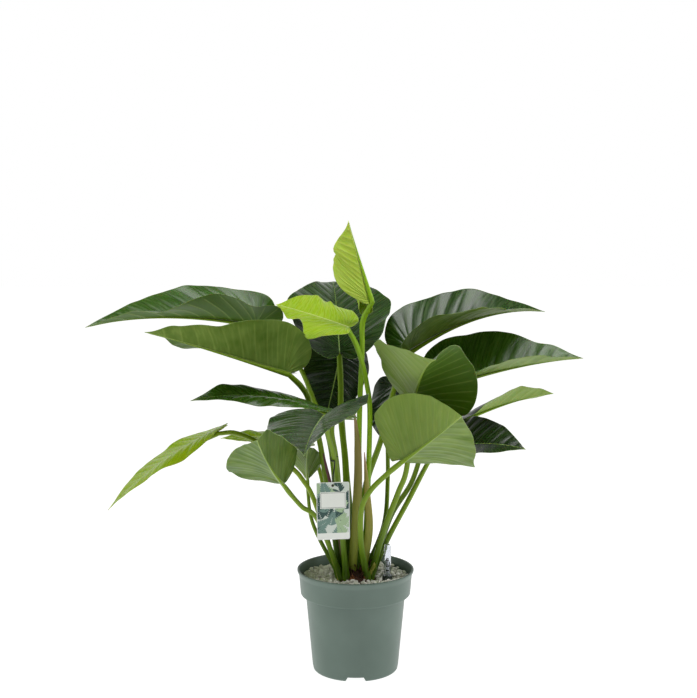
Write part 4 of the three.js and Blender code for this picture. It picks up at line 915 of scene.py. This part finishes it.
def huskFinish(name, dark, middle, tan):
    # dried leaf sheath: thin, papery, no gloss, with stringy fibres about 1 mm across and 11 mm long
    material, tree, shader = newMaterial(name, IOR=1.45, Roughness=0.72)
    where = addNode(tree, "TexCoord").outputs["Object"]
    tint = addNode(tree, "Attribute", attribute_name="tint").outputs["Fac"]
    stretched = addNode(tree, "Mapping", {"Scale": (900.0, 900.0, 90.0)}, {"Vector": where}).outputs[0]
    fibres = addNode(tree, "TexNoise", {"Scale": 1.0, "Detail": 3.0}, {"Vector": stretched}).outputs[0]
    share = addNode(tree, "MapRange", {1: 0.4, 2: 0.7}, {0: fibres}, **eased).outputs[0]
    colour = addNode(tree, "Mix", {6: toLinear(dark), 7: toLinear(middle)}, {0: share},
                     **colourMix).outputs[2]
    share = addNode(tree, "Math", {}, {0: tint, 1: share}, **times).outputs[0]
    colour = addNode(tree, "Mix", {7: toLinear(tan)}, {0: share, 6: colour}, **colourMix).outputs[2]
    dressShader(tree, shader, colour, fibres, 0.7, 0.6)
    return material


def stripShape(rng, foot, lean, height, width):
    # a thin closed husk blade, cupped across and ragged at the tip
    rows, columns = 12, 6
    away = np.array([math.cos(lean), math.sin(lean), 0])
    side = np.array([-away[1], away[0], 0])
    s = np.linspace(0, 1, rows + 1)[:, None]
    t = np.linspace(-1, 1, columns + 1)[None, :]
    ragged = 1 - 0.25 * np.abs(np.sin(t * 5 + rng.uniform(0, 6)))
    span = width / 2 * (1 - 0.75 * s ** 1.6) * t
    up = height * s * ragged
    outward = (0.1 + 0.3 * rng.uniform()) * height * s ** 2 - (t ** 2) * width * 0.16
    front = foot + span[..., None] * side + outward[..., None] * away + up[..., None] * (0, 0, 1)
    back = front + away * crown["stripThickness"]
    index = np.arange(up.size).reshape(up.shape)
    faces = []
    for i in range(rows):
        for j in range(columns):
            quad = [int(k) for k in (index[i, j], index[i, j + 1], index[i + 1, j + 1], index[i + 1, j])]
            faces += [tuple(quad), tuple(k + up.size for k in quad[::-1])]
    rim = [int(k) for k in (*index[0, :], *index[1:, -1], *index[-1, -2::-1], *index[-2:0:-1, 0])]
    faces += [(b, a, a + up.size, b + up.size) for a, b in zip(rim, rim[1:] + rim[:1])]
    return np.concatenate([front.reshape(-1, 3), back.reshape(-1, 3)]), faces


def crownBody(level):
    # a lathe with ridges round its upper part
    shares = np.linspace(0, 1, crown["rings"])
    profile = pointsAt([(r, z + level) for r, z in crown["profile"]], shares, (1, 1))
    profile[0, 0] = profile[-1, 0] = 0
    points, faces = turnedShape([tuple(p) for p in profile], crown["sides"])
    angle = np.arctan2(points[:, 1], points[:, 0])
    (coarse, few), (fine, many) = crown["ribs"]
    ribs = coarse * np.sin(angle * few + 1) + fine * np.sin(angle * many + points[:, 2] * 0.3)
    high = smoothStep(level - 10, level, points[:, 2])
    points[:, :2] *= (1 + ribs * high / 45)[:, None]
    points[:, 2] += high * 1.2 * np.sin(points[:, 0] * 0.4 + 2) * np.sin(points[:, 1] * 0.5)
    return points, faces


def buildCrown():
    rng = np.random.default_rng(crown["seed"])
    builder = Builder(("tint",))
    level = pumice["level"]
    builder.add(*crownBody(level), 0, tint=0.15)
    tall, wide = crown["stripHeight"], crown["stripWidth"]
    for _ in range(crown["strips"]):
        a, r = rng.uniform(0, 2 * math.pi), rng.uniform(8, 34)
        foot = np.array([r * math.cos(a), r * math.sin(a), level - 3 + 12 * (1 - r / 36)])
        lean, height, width = a + rng.uniform(-0.5, 0.5), rng.uniform(*tall), rng.uniform(*wide)
        builder.add(*stripShape(rng, foot, lean, height, width), 0, tint=rng.uniform(0, 0.8))
    for (x, y), height, width, slot in crown["flaps"]:
        strip = stripShape(rng, np.array([x, y, level - 4]), math.atan2(y, x), height, width)
        builder.add(*strip, slot, tint=0.7)
    rings = crown["fibreRings"]
    sections = np.linspace(*crown["fibreThickness"], rings)[:, None, None] * roundSection(6)
    for _ in range(crown["fibres"]):
        a, r = rng.uniform(0, 2 * math.pi), rng.uniform(4, 33)
        start = np.array([r * math.cos(a), r * math.sin(a), level + 1 + 14 * (1 - r / 36)])
        way = rng.normal(size=3) * (9, 9, 4) + (0, 0, 3)
        middle = start + way * 0.6 + rng.normal(size=3) * 2
        end = start + way * 1.3 + rng.normal(size=3) * 4
        line = pointsAt([start, middle, end], np.linspace(0, 1, rings))
        builder.add(*sweptTube(line, sections, np.array([0.2, 0.1, 1])), 0, tint=rng.uniform(0.3, 1))
    piece = builder.make("crown_husk", [huskFinish(*finish) for finish in crown["finishes"]])
    placePiece(piece, "crown")


buildCrown()
print("crown wrapped")


# cataphylls: the sheaths of younger leaves, pointed and keeled, still fresh below and dry at the tip

sheathSize = {"rings": 50, "sides": 20, "keel": 0.16, "channel": 0.2}
sheaths = {  # radii and route from foot to tip, and the colours of foot, middle and tip
    "cataphyll_center": dict(radii=(8.0, 8.4, 6.6, 0.8), slot="sheath_olive",
                             route=((-7, -12, 178), (3, -19, 322), (4, -28, 417), (-3, -40, 496)),
                             colours=("#8f9a2a", "#857a38", "#b98a78")),
    "cataphyll_right": dict(radii=(6.5, 7.2, 5.5, 0.8), slot="sheath_olive",
                            route=((12, -11, 178), (25, -15, 265), (21, -18, 341), (16, -22, 412)),
                            colours=("#9aa634", "#9c9440", "#c08f80")),
    "cataphyll_left": dict(radii=(4, 3.4, 2.4, 0.7), slot="sheath_maroon",
                           route=((-18, -9, 178), (-40, -20, 322), (-54, -34, 390), (-59, -45, 415)),
                           colours=("#6f5a34", "#5a2430", "#4c1c28")),
}


def sheathFinish(name, colours):
    # leafy sheath drying out: satin, with close lengthwise fibres, and a papery tip
    material, tree, shader = newMaterial(name, IOR=1.45, Roughness=0.48)
    along = addNode(tree, "Attribute", attribute_name="along").outputs["Fac"]
    around = addNode(tree, "Attribute", attribute_name="around").outputs["Fac"]
    stretched = addNode(tree, "Math", {1: 5.0}, {0: along}, **times).outputs[0]
    lines = addNode(tree, "CombineXYZ", {}, {0: around, 1: stretched}).outputs[0]
    fibres = addNode(tree, "TexNoise", {"Scale": 1.5, "Detail": 3.0}, {"Vector": lines}).outputs[0]
    place = addNode(tree, "Math", {1: 0.35}, {0: fibres, 2: along}, operation="MULTIPLY_ADD").outputs[0]
    foot, middle, tip = (toLinear(c) for c in colours)
    share = addNode(tree, "MapRange", {1: 0.2, 2: 0.75}, {0: place}, **eased).outputs[0]
    colour = addNode(tree, "Mix", {6: foot, 7: middle}, {0: share}, **colourMix).outputs[2]
    share = addNode(tree, "MapRange", {1: 0.95, 2: 1.2}, {0: place}, **eased).outputs[0]
    colour = addNode(tree, "Mix", {7: tip}, {0: share, 6: colour}, **colourMix).outputs[2]
    dressShader(tree, shader, colour, fibres, 0.6, 0.4)
    return material


def growSheath(name, sheath):
    rings, sides = sheathSize["rings"], sheathSize["sides"]
    place = np.linspace(0, 1, rings)
    radii = np.interp(place * 3, range(4), sheath["radii"])
    turn = fromTop(sides)
    keel = 1 + sheathSize["keel"] * np.exp(-((np.abs(turn) - 2.2) / 0.22) ** 2)
    keel -= sheathSize["channel"] * np.exp(-(turn / 0.6) ** 2)
    sections = radii[:, None, None] * roundSection(sides) * keel[:, None]
    points, faces = sweptTube(catmullRom(sheath["route"], place), sections, np.array([0.1, 1.0, 0.1]))
    builder = Builder(("along", "around"))
    builder.add(points, faces, 0, along=np.repeat(place, sides), around=np.tile(np.abs(turn) * 3, rings))
    finish = sheathFinish(f"drying sheath, {name.split('_')[1]}", sheath["colours"])
    placePiece(builder.make(name + "_sheath", [finish]), name)


for sheathName, sheathRecord in sheaths.items():
    growSheath(sheathName, sheathRecord)
print("sheaths grown:", len(sheaths))


# water level gauge: a clear tube with a dial stick on a float, in a dark foot

gauge = {
    "centre": (59, -14), "sides": 48,
    # radius, height and corner radius
    "body": [(0, 30), (6.2, 30, 1), (6.2, 164, 1), (9.2, 168, 1), (9.2, 180, 0.8), (5.4, 180, 0.5),
             (5.4, 40), (0, 40)],
    "tube": [(5.4, 180.3), (6.4, 180.3), (6.4, 235, 2), (4, 238.4, 1), (0.02, 239), (0.02, 237.6),
             (3.4, 237.2), (5.4, 234.4)],
    "stick": [(0, 40.3), (4.6, 40.3, 0.5), (4.6, 70, 0.5), (2.6, 73, 0.5), (2.6, 212, 0.8), (0, 213)],
    "marks": (188, 196, 207), "markHeight": 2.6, "markRadii": (2.4, 2.9),
    "scuffSize": 2.5,
}


def clearFinish(name, colour, edgeColour):
    # moulded polystyrene tube: clear and polished, with faint scuffs 2 to 3 mm across
    material, tree, shader = newMaterial(name, IOR=1.3, Roughness=0.06, Transmission_Weight=0.93)
    where = addNode(tree, "TexCoord").outputs["Object"]
    scuffs = addNode(tree, "TexNoise", {"Scale": 1000 / gauge["scuffSize"], "Detail": 3.0},
                     {"Vector": where}).outputs[0]
    roughness = addNode(tree, "MapRange", {1: 0.45, 2: 0.75, 3: 0.04, 4: 0.16}, {0: scuffs}).outputs[0]
    tint = addNode(tree, "Mix", {6: toLinear(colour), 7: toLinear(edgeColour)}, {0: scuffs},
                   **colourMix).outputs[2]
    tree.links.new(tint, shader.inputs["Base Color"])
    tree.links.new(roughness, shader.inputs["Roughness"])
    return material


def buildGauge():
    sides, centre = gauge["sides"], gauge["centre"]
    dark = plasticFinish("matt ABS, grey-green black", "#46524c", "#3e4a44")
    points, faces = turnedShape(roundedProfile(gauge["body"], 3), sides, centre)
    placePiece(makeObject("gauge_foot", points, faces, [dark], sharp=35), "gauge_body")
    clear = clearFinish("clear polystyrene", "#fafcff", "#edf1f8")
    points, faces = closedRing(roundedProfile(gauge["tube"], 3), sides, centre)
    tube = makeObject("gauge_clear_tube", points, faces, [clear], sharp=40)
    placePiece(tube, "gauge_tube")
    stick = Builder()
    stick.add(*turnedShape(roundedProfile(gauge["stick"], 3), sides, centre), 0)
    inner, outer = gauge["markRadii"]
    for bottom in gauge["marks"]:
        top = bottom + gauge["markHeight"]
        band = [(inner, bottom), (outer, bottom), (outer, top), (inner, top)]
        stick.add(*closedRing(band, sides, centre), 1)
    finishes = [plasticFinish("white ABS stick", "#f2f4f6", "#e6eaee"),
                plasticFinish("printed dark mark", "#23262c", "#1b1e24")]
    placePiece(stick.make("gauge_stick", finishes, sharp=35), "gauge_float")


buildGauge()
print("gauge placed")


# hang tag: printed card on a thin moulded hook; the print is a plain pattern of fronds with a bare label

tag = {
    "centre": (-40, -112, 324), "lean": 3, "tilt": -1, "turn": 5,
    "width": 58, "height": 104, "thick": 0.9, "corner": 3,
    "hole": (6, 2.6),  # from the top edge down, and radius
    "border": 1.2, "foot": 12,  # white edge round the picture, and the blank strip below it
    "label": (0, 19.5, 46, 30),  # its centre across and up, width and height
    "rules": ((1.4, 5, 0.03), (2.0, 0, 0.06)),  # panels of the label: inset, ink, and how proud they are
    "pictureLift": 0.04, "frondLift": 0.06, "leafletLift": 0.0007, "labelLift": 0.28,  # mm before the card
    "inks": (  # card, three greens of the fronds, the picture's ground, and the rule
        ("card, white", "#f1f3ee", "#e8ebe5"), ("print, deep teal", "#1f4a44", "#1b423d"),
        ("print, grey-green", "#6f9086", "#66867c"), ("print, light green", "#a9c39a", "#9db88e"),
        ("print, mist", "#d6ded6", "#cdd6cd"), ("print, rule grey", "#3a3d3c", "#323534")),
    "fronds": (4, 6), "seed": 4,  # across and up
    "pairs": 7, "firstPair": 2, "pairsApart": 3.4,
    # of a frond's leaflets at its foot, and what each pair up takes off: angle, length and width
    "spread": (0.95, 0.09), "leafletLength": (13, 1.1), "leafletWidth": (3.9, 0.3),
}
tagFrame = Matrix.Translation(tag["centre"]) @ (
    Matrix.Rotation(math.radians(tag["turn"]), 4, "Z") @ Matrix.Rotation(math.radians(tag["tilt"]), 4, "Y")
    @ Matrix.Rotation(math.radians(tag["lean"]), 4, "X"))


def onTag(points):
    rotation, place = np.array(tagFrame.to_3x3()), np.array(tagFrame.translation)
    return np.asarray(points) @ rotation.T + place


def sheetShape(outline, front, back, hole=None):
    # a flat closed sheet in the tag's plane, from a counter-clockwise outline, with an optional round hole
    loops = [outline] if hole is None else [outline, hole]
    flat = bmesh.new()
    edges = []
    for loop in loops:
        verts = [flat.verts.new((x, z, 0)) for x, z in loop]
        edges += [flat.edges.new((a, b)) for a, b in zip(verts, verts[1:] + verts[:1])]
    bmesh.ops.triangle_fill(flat, edges=edges, use_beauty=True, use_dissolve=False)
    flat.verts.index_update()
    points = np.array([(v.co.x, v.co.y) for v in flat.verts])
    count = len(points)
    faces = []
    for triangle in flat.faces:
        ids = [v.index for v in triangle.verts]
        a, b, c = (points[k] for k in ids)
        clockwise = (b[0] - a[0]) * (c[1] - a[1]) - (b[1] - a[1]) * (c[0] - a[0]) < 0
        faces.append(tuple(ids[::-1] if clockwise else ids))
    flat.free()
    faces += [tuple(k + count for k in face[::-1]) for face in faces]
    start = 0
    for loop in loops:
        rim = [start + k for k in range(len(loop))]
        faces += [(b, a, a + count, b + count) for a, b in zip(rim, rim[1:] + rim[:1])]
        start += len(loop)
    both = [np.column_stack([points[:, 0], np.full(count, y), points[:, 1]]) for y in (front, back)]
    return onTag(np.vstack(both)), faces


def roundedRectangle(cx, cz, width, height, corner, steps=6):
    made = []
    for k, (sx, sz) in enumerate(((1, -1), (1, 1), (-1, 1), (-1, -1))):
        for s in range(steps + 1):
            a = (k - 1 + s / steps) * math.pi / 2
            made.append((cx + sx * (width / 2 - corner) + corner * math.cos(a),
                         cz + sz * (height / 2 - corner) + corner * math.sin(a)))
    return made


def clipToBox(outline, left, right, low, high):
    # a convex outline kept inside a box
    for axis, limit, keep in ((0, left, 1), (0, right, -1), (1, low, 1), (1, high, -1)):
        made = []
        for p, q in zip(outline, outline[1:] + outline[:1]):
            a, b = (p[axis] - limit) * keep, (q[axis] - limit) * keep
            if a >= 0:
                made.append(p)
            if a * b < 0:
                s = a / (a - b)
                made.append((p[0] + (q[0] - p[0]) * s, p[1] + (q[1] - p[1]) * s))
        outline = made
        if len(outline) < 3:
            return []
    return outline


def cardFinish(name, colour, darker):
    # coated board with litho print: smooth, slightly glossy, with the board's faint tooth, 1.5 mm across
    material, tree, shader = newMaterial(name, IOR=1.5, Roughness=0.4)
    where = addNode(tree, "TexCoord").outputs["Object"]
    tooth = addNode(tree, "TexNoise", {"Scale": 1000 / 1.5, "Detail": 3.0}, {"Vector": where}).outputs[0]
    shades = addNode(tree, "Mix", {6: toLinear(colour), 7: toLinear(darker)}, {0: tooth},
                     **colourMix).outputs[2]
    dressShader(tree, shader, shades, tooth, 0.2, 0.05)
    return material


def leafletOutline(x, z, way, length, width, side):
    # an ellipse that starts at its place on the stalk
    outline, cosine, sine = [], math.cos(way), math.sin(way)
    for a in angleSteps(16):
        u, v = (1 - math.cos(a)) / 2 * length, width / 2 * math.sin(a) * side
        outline.append((x + u * cosine - v * sine, z + u * sine + v * cosine))
    return outline if side > 0 else outline[::-1]


def printFronds(card, left, right, low, high):
    # scattered fronds of paired leaflets, each leaflet a hair before the last, and none on the hole
    rng = np.random.default_rng(tag["seed"])
    across, upward = tag["fronds"]
    down, radius = tag["hole"]
    front, holeHeight, layer = -tag["thick"] / 2, tag["height"] / 2 - down, 0
    tapers = tag["spread"], tag["leafletLength"], tag["leafletWidth"]
    places = [(i, j) for j in range(upward) for i in range(across)]
    rng.shuffle(places)
    for k, (i, j) in enumerate(places):
        x = left + (i + rng.uniform(-0.2, 0.6)) * (right - left) / across
        z = low + (j - 0.4 + rng.uniform(-0.3, 0.3)) * (high - low) / upward
        aim = rng.uniform(0.5, 2.6)
        for pair, side in [(pair, side) for pair in range(tag["pairs"]) for side in (-1, 1)]:
            along = tag["firstPair"] + pair * tag["pairsApart"]
            spread, length, width = (most - less * pair for most, less in tapers)
            px, pz = x + along * math.cos(aim), z + along * math.sin(aim)
            outline = leafletOutline(px, pz, aim + side * spread, length, width, side)
            outline = clipToBox(outline, left, right, low, high)
            onHole = any(math.hypot(u, v - holeHeight) < radius + 0.3 for u, v in outline)
            if len(outline) > 3 and not onHole:
                layer += 1
                proud = tag["frondLift"] + tag["leafletLift"] * layer
                card.add(*sheetShape(outline, front - proud, front + 0.05), 1 + k % 3)


def buildTag():
    width, height, front = tag["width"], tag["height"], -tag["thick"] / 2
    down, radius = tag["hole"]
    hole = [(radius * math.cos(a), height / 2 - down + radius * math.sin(a)) for a in angleSteps(28)][::-1]
    card = Builder()
    card.add(*sheetShape(roundedRectangle(0, 0, width, height, tag["corner"]), front, -front, hole), 0)
    # each printed layer is a closed sheet that starts inside the card and ends before it
    low, high = -height / 2 + tag["foot"], height / 2 - tag["border"]
    left, right = -width / 2 + tag["border"], width / 2 - tag["border"]
    picture = roundedRectangle(0, (low + high) / 2, right - left, high - low, 1.5)
    card.add(*sheetShape(picture, front - tag["pictureLift"], front + 0.1, hole), 4)
    printFronds(card, left, right, low, high)
    x, z, labelWidth, labelHeight = tag["label"]
    raised = front - tag["labelLift"]
    card.add(*sheetShape(roundedRectangle(x, z, labelWidth, labelHeight, 0.6), raised, front + 0.1), 0)
    for inset, ink, proud in tag["rules"]:
        panel = roundedRectangle(x, z, labelWidth - 2 * inset, labelHeight - 2 * inset, 0.4)
        card.add(*sheetShape(panel, raised - proud, front), ink)
    finishes = [cardFinish(*ink) for ink in tag["inks"]]
    placePiece(card.make("hang_tag", finishes, smooth=False), "tag")


buildTag()
print("tag printed")


# hook: thin glossy polypropylene strap from the tag's hole up and round a petiole

hook = {
    "holder": "leaf_front_down", "height": 414,  # the petiole that it goes round, and where
    "wire": 1.1, "gap": 0.9,  # radius, and the space between it and the petiole
    "turn": 250, "turnStep": 25, "pitch": 0.01,  # degrees round the petiole, and mm up it for each degree
    "rings": 150, "sides": 14, "ends": (0.5, 0.8, 1.0),  # radii of the three rings at either end
}


def buildHook():
    # from the tag's front through its hole, up behind it, and round the petiole from the viewer's side
    line, radii = petioleLine(leaves[hook["holder"]], np.linspace(0, 1, 801))
    k = int(np.argmin(np.abs(line[:, 2] - hook["height"])))
    centre, along = line[k], unit(line[k + 1] - line[k - 1])
    front = np.array([0, -1.0, 0])
    front = unit(front - along * (front @ along))
    right = np.cross(front, along)
    ring = radii[k] + hook["gap"] + hook["wire"]
    down, radius = tag["hole"]
    start = onTag([(0, 0, tag["height"] / 2 - down + radius - hook["wire"] - 0.6)])[0]
    points = [start + (0, -3.5, -2.5), start, start + (0, 3.5, 3), start + (0.3, 5, 14),
              centre + front * (ring + 0.5) + (-0.5, 0, -12)]
    for turn in range(0, hook["turn"] + 1, hook["turnStep"]):
        a = math.radians(turn)
        points.append(centre + front * ring * math.cos(a) + right * ring * math.sin(a)
                      + along * hook["pitch"] * turn)
    thickness = np.full(hook["rings"], hook["wire"])
    thickness[:3], thickness[-3:] = hook["ends"], hook["ends"][::-1]
    sections = thickness[:, None, None] * roundSection(hook["sides"])
    line = catmullRom(points, np.linspace(0, 1, hook["rings"]))
    tube = sweptTube(line, sections, np.array([0.1, 0.3, 1.0]))
    black = plasticFinish("gloss polypropylene, black", "#1b1c1e", "#151618", 0.15)
    placePiece(makeObject("tag_strap", *tube, [black]), "tag_hook")


buildHook()
print("tag hooked on")


# stage: white sweep, soft boxes left, right and above, and the photograph's viewpoint

stage = {
    "floorSize": 30.0, "floorColours": ("#959595", "#999999"), "floorGlow": 0.95,
    "cameraPlace": (-0.013, -2.2, 0.817), "cameraPitch": -5.65,
    "focalPixels": 1208, "imageHeight": 698,
    "boxes": [  # place, size, target and power in watts
        ((-0.85, -0.3, 2.2), (0.5, 1.5), (0, 0, 0.45), 13),
        ((0.0, -0.3, 2.3), (0.5, 1.5), (0, 0, 0.45), 13),
        ((0.85, -0.3, 2.2), (0.5, 1.5), (0, 0, 0.45), 13),
        ((-2.2, -0.7, 1.2), (0.6, 1.6), (0, 0, 0.45), 15),
        ((2.2, -0.6, 1.2), (0.5, 1.6), (0, 0, 0.45), 13),
    ],
    "skyFront": 0.14, "skyBack": 0.9, "skyTop": 0.16,  # brightness on the viewer's side, behind and overhead
    "skyTurn": (-0.7, 0.5), "skyDim": (0.2, 0.7),  # where it changes from front to back, and on its way up
}


def lightSky(scene):
    # the room is white behind the plant, dimmer overhead and on the viewer's side; seen directly it is white
    world = bpy.data.worlds.new("studio")
    scene.world = world
    world.use_nodes = True
    tree = world.node_tree
    background = tree.nodes["Background"]
    direction = addNode(tree, "TexCoord").outputs["Generated"]
    axes = addNode(tree, "SeparateXYZ", {}, {0: direction}).outputs
    (front, back), (low, high) = stage["skyTurn"], stage["skyDim"]
    depth = addNode(tree, "MapRange", {1: front, 2: back, 3: stage["skyFront"], 4: stage["skyBack"]},
                    {0: axes[1]}, **eased).outputs[0]
    height = addNode(tree, "MapRange", {1: low, 2: high, 3: 1.0, 4: stage["skyTop"]},
                     {0: axes[2]}, **eased).outputs[0]
    light = addNode(tree, "Math", {}, {0: depth, 1: height}, **times).outputs[0]
    seen = addNode(tree, "LightPath").outputs["Is Camera Ray"]
    strength = addNode(tree, "Mix", {3: 1.0}, {0: seen, 2: light}, data_type="FLOAT").outputs[0]
    tree.links.new(strength, background.inputs["Strength"])
    background.inputs["Color"].default_value = (1, 1, 1, 1)


def layFloor():
    # white painted board that glows a little, so that it stays white under the pot
    white, tree, shader = newMaterial("white sweep", Roughness=0.9, Emission_Strength=stage["floorGlow"])
    where = addNode(tree, "TexCoord").outputs["Object"]
    fibre = addNode(tree, "TexNoise", {"Scale": 30.0}, {"Vector": where}).outputs[0]
    light, dark = (toLinear(c) for c in stage["floorColours"])
    paint = addNode(tree, "Mix", {6: light, 7: dark}, {0: fibre}, **colourMix).outputs[2]
    tree.links.new(paint, shader.inputs["Base Color"])
    shader.inputs["Emission Color"].default_value = (1, 1, 1, 1)
    half = stage["floorSize"] / 2 / mm
    corners = [(-half, -half, 0), (half, -half, 0), (half, half, 0), (-half, half, 0)]
    makeObject("floor", corners, [(0, 1, 2, 3)], [white])


def buildStage():
    scene = bpy.context.scene
    scene.view_settings.view_transform = "Standard"
    lightSky(scene)
    layFloor()
    for number, (place, size, target, power) in enumerate(stage["boxes"]):
        light = bpy.data.lights.new(f"soft box {number}", "AREA")
        light.shape = "RECTANGLE"
        light.size, light.size_y = size
        light.energy = power
        lamp = bpy.data.objects.new(light.name, light)
        lamp.location = place
        lamp.rotation_euler = (Vector(target) - Vector(place)).to_track_quat("-Z", "Y").to_euler()
        lamp.visible_camera = False
        scene.collection.objects.link(lamp)
    camera = bpy.data.cameras.new("camera")
    camera.lens = stage["focalPixels"] * camera.sensor_width / stage["imageHeight"]
    camera.clip_end = 100
    viewer = bpy.data.objects.new("camera", camera)
    viewer.location = stage["cameraPlace"]
    viewer.rotation_euler = (math.radians(90 + stage["cameraPitch"]), 0, 0)
    scene.collection.objects.link(viewer)
    scene.camera = viewer


buildStage()
print("stage lit")
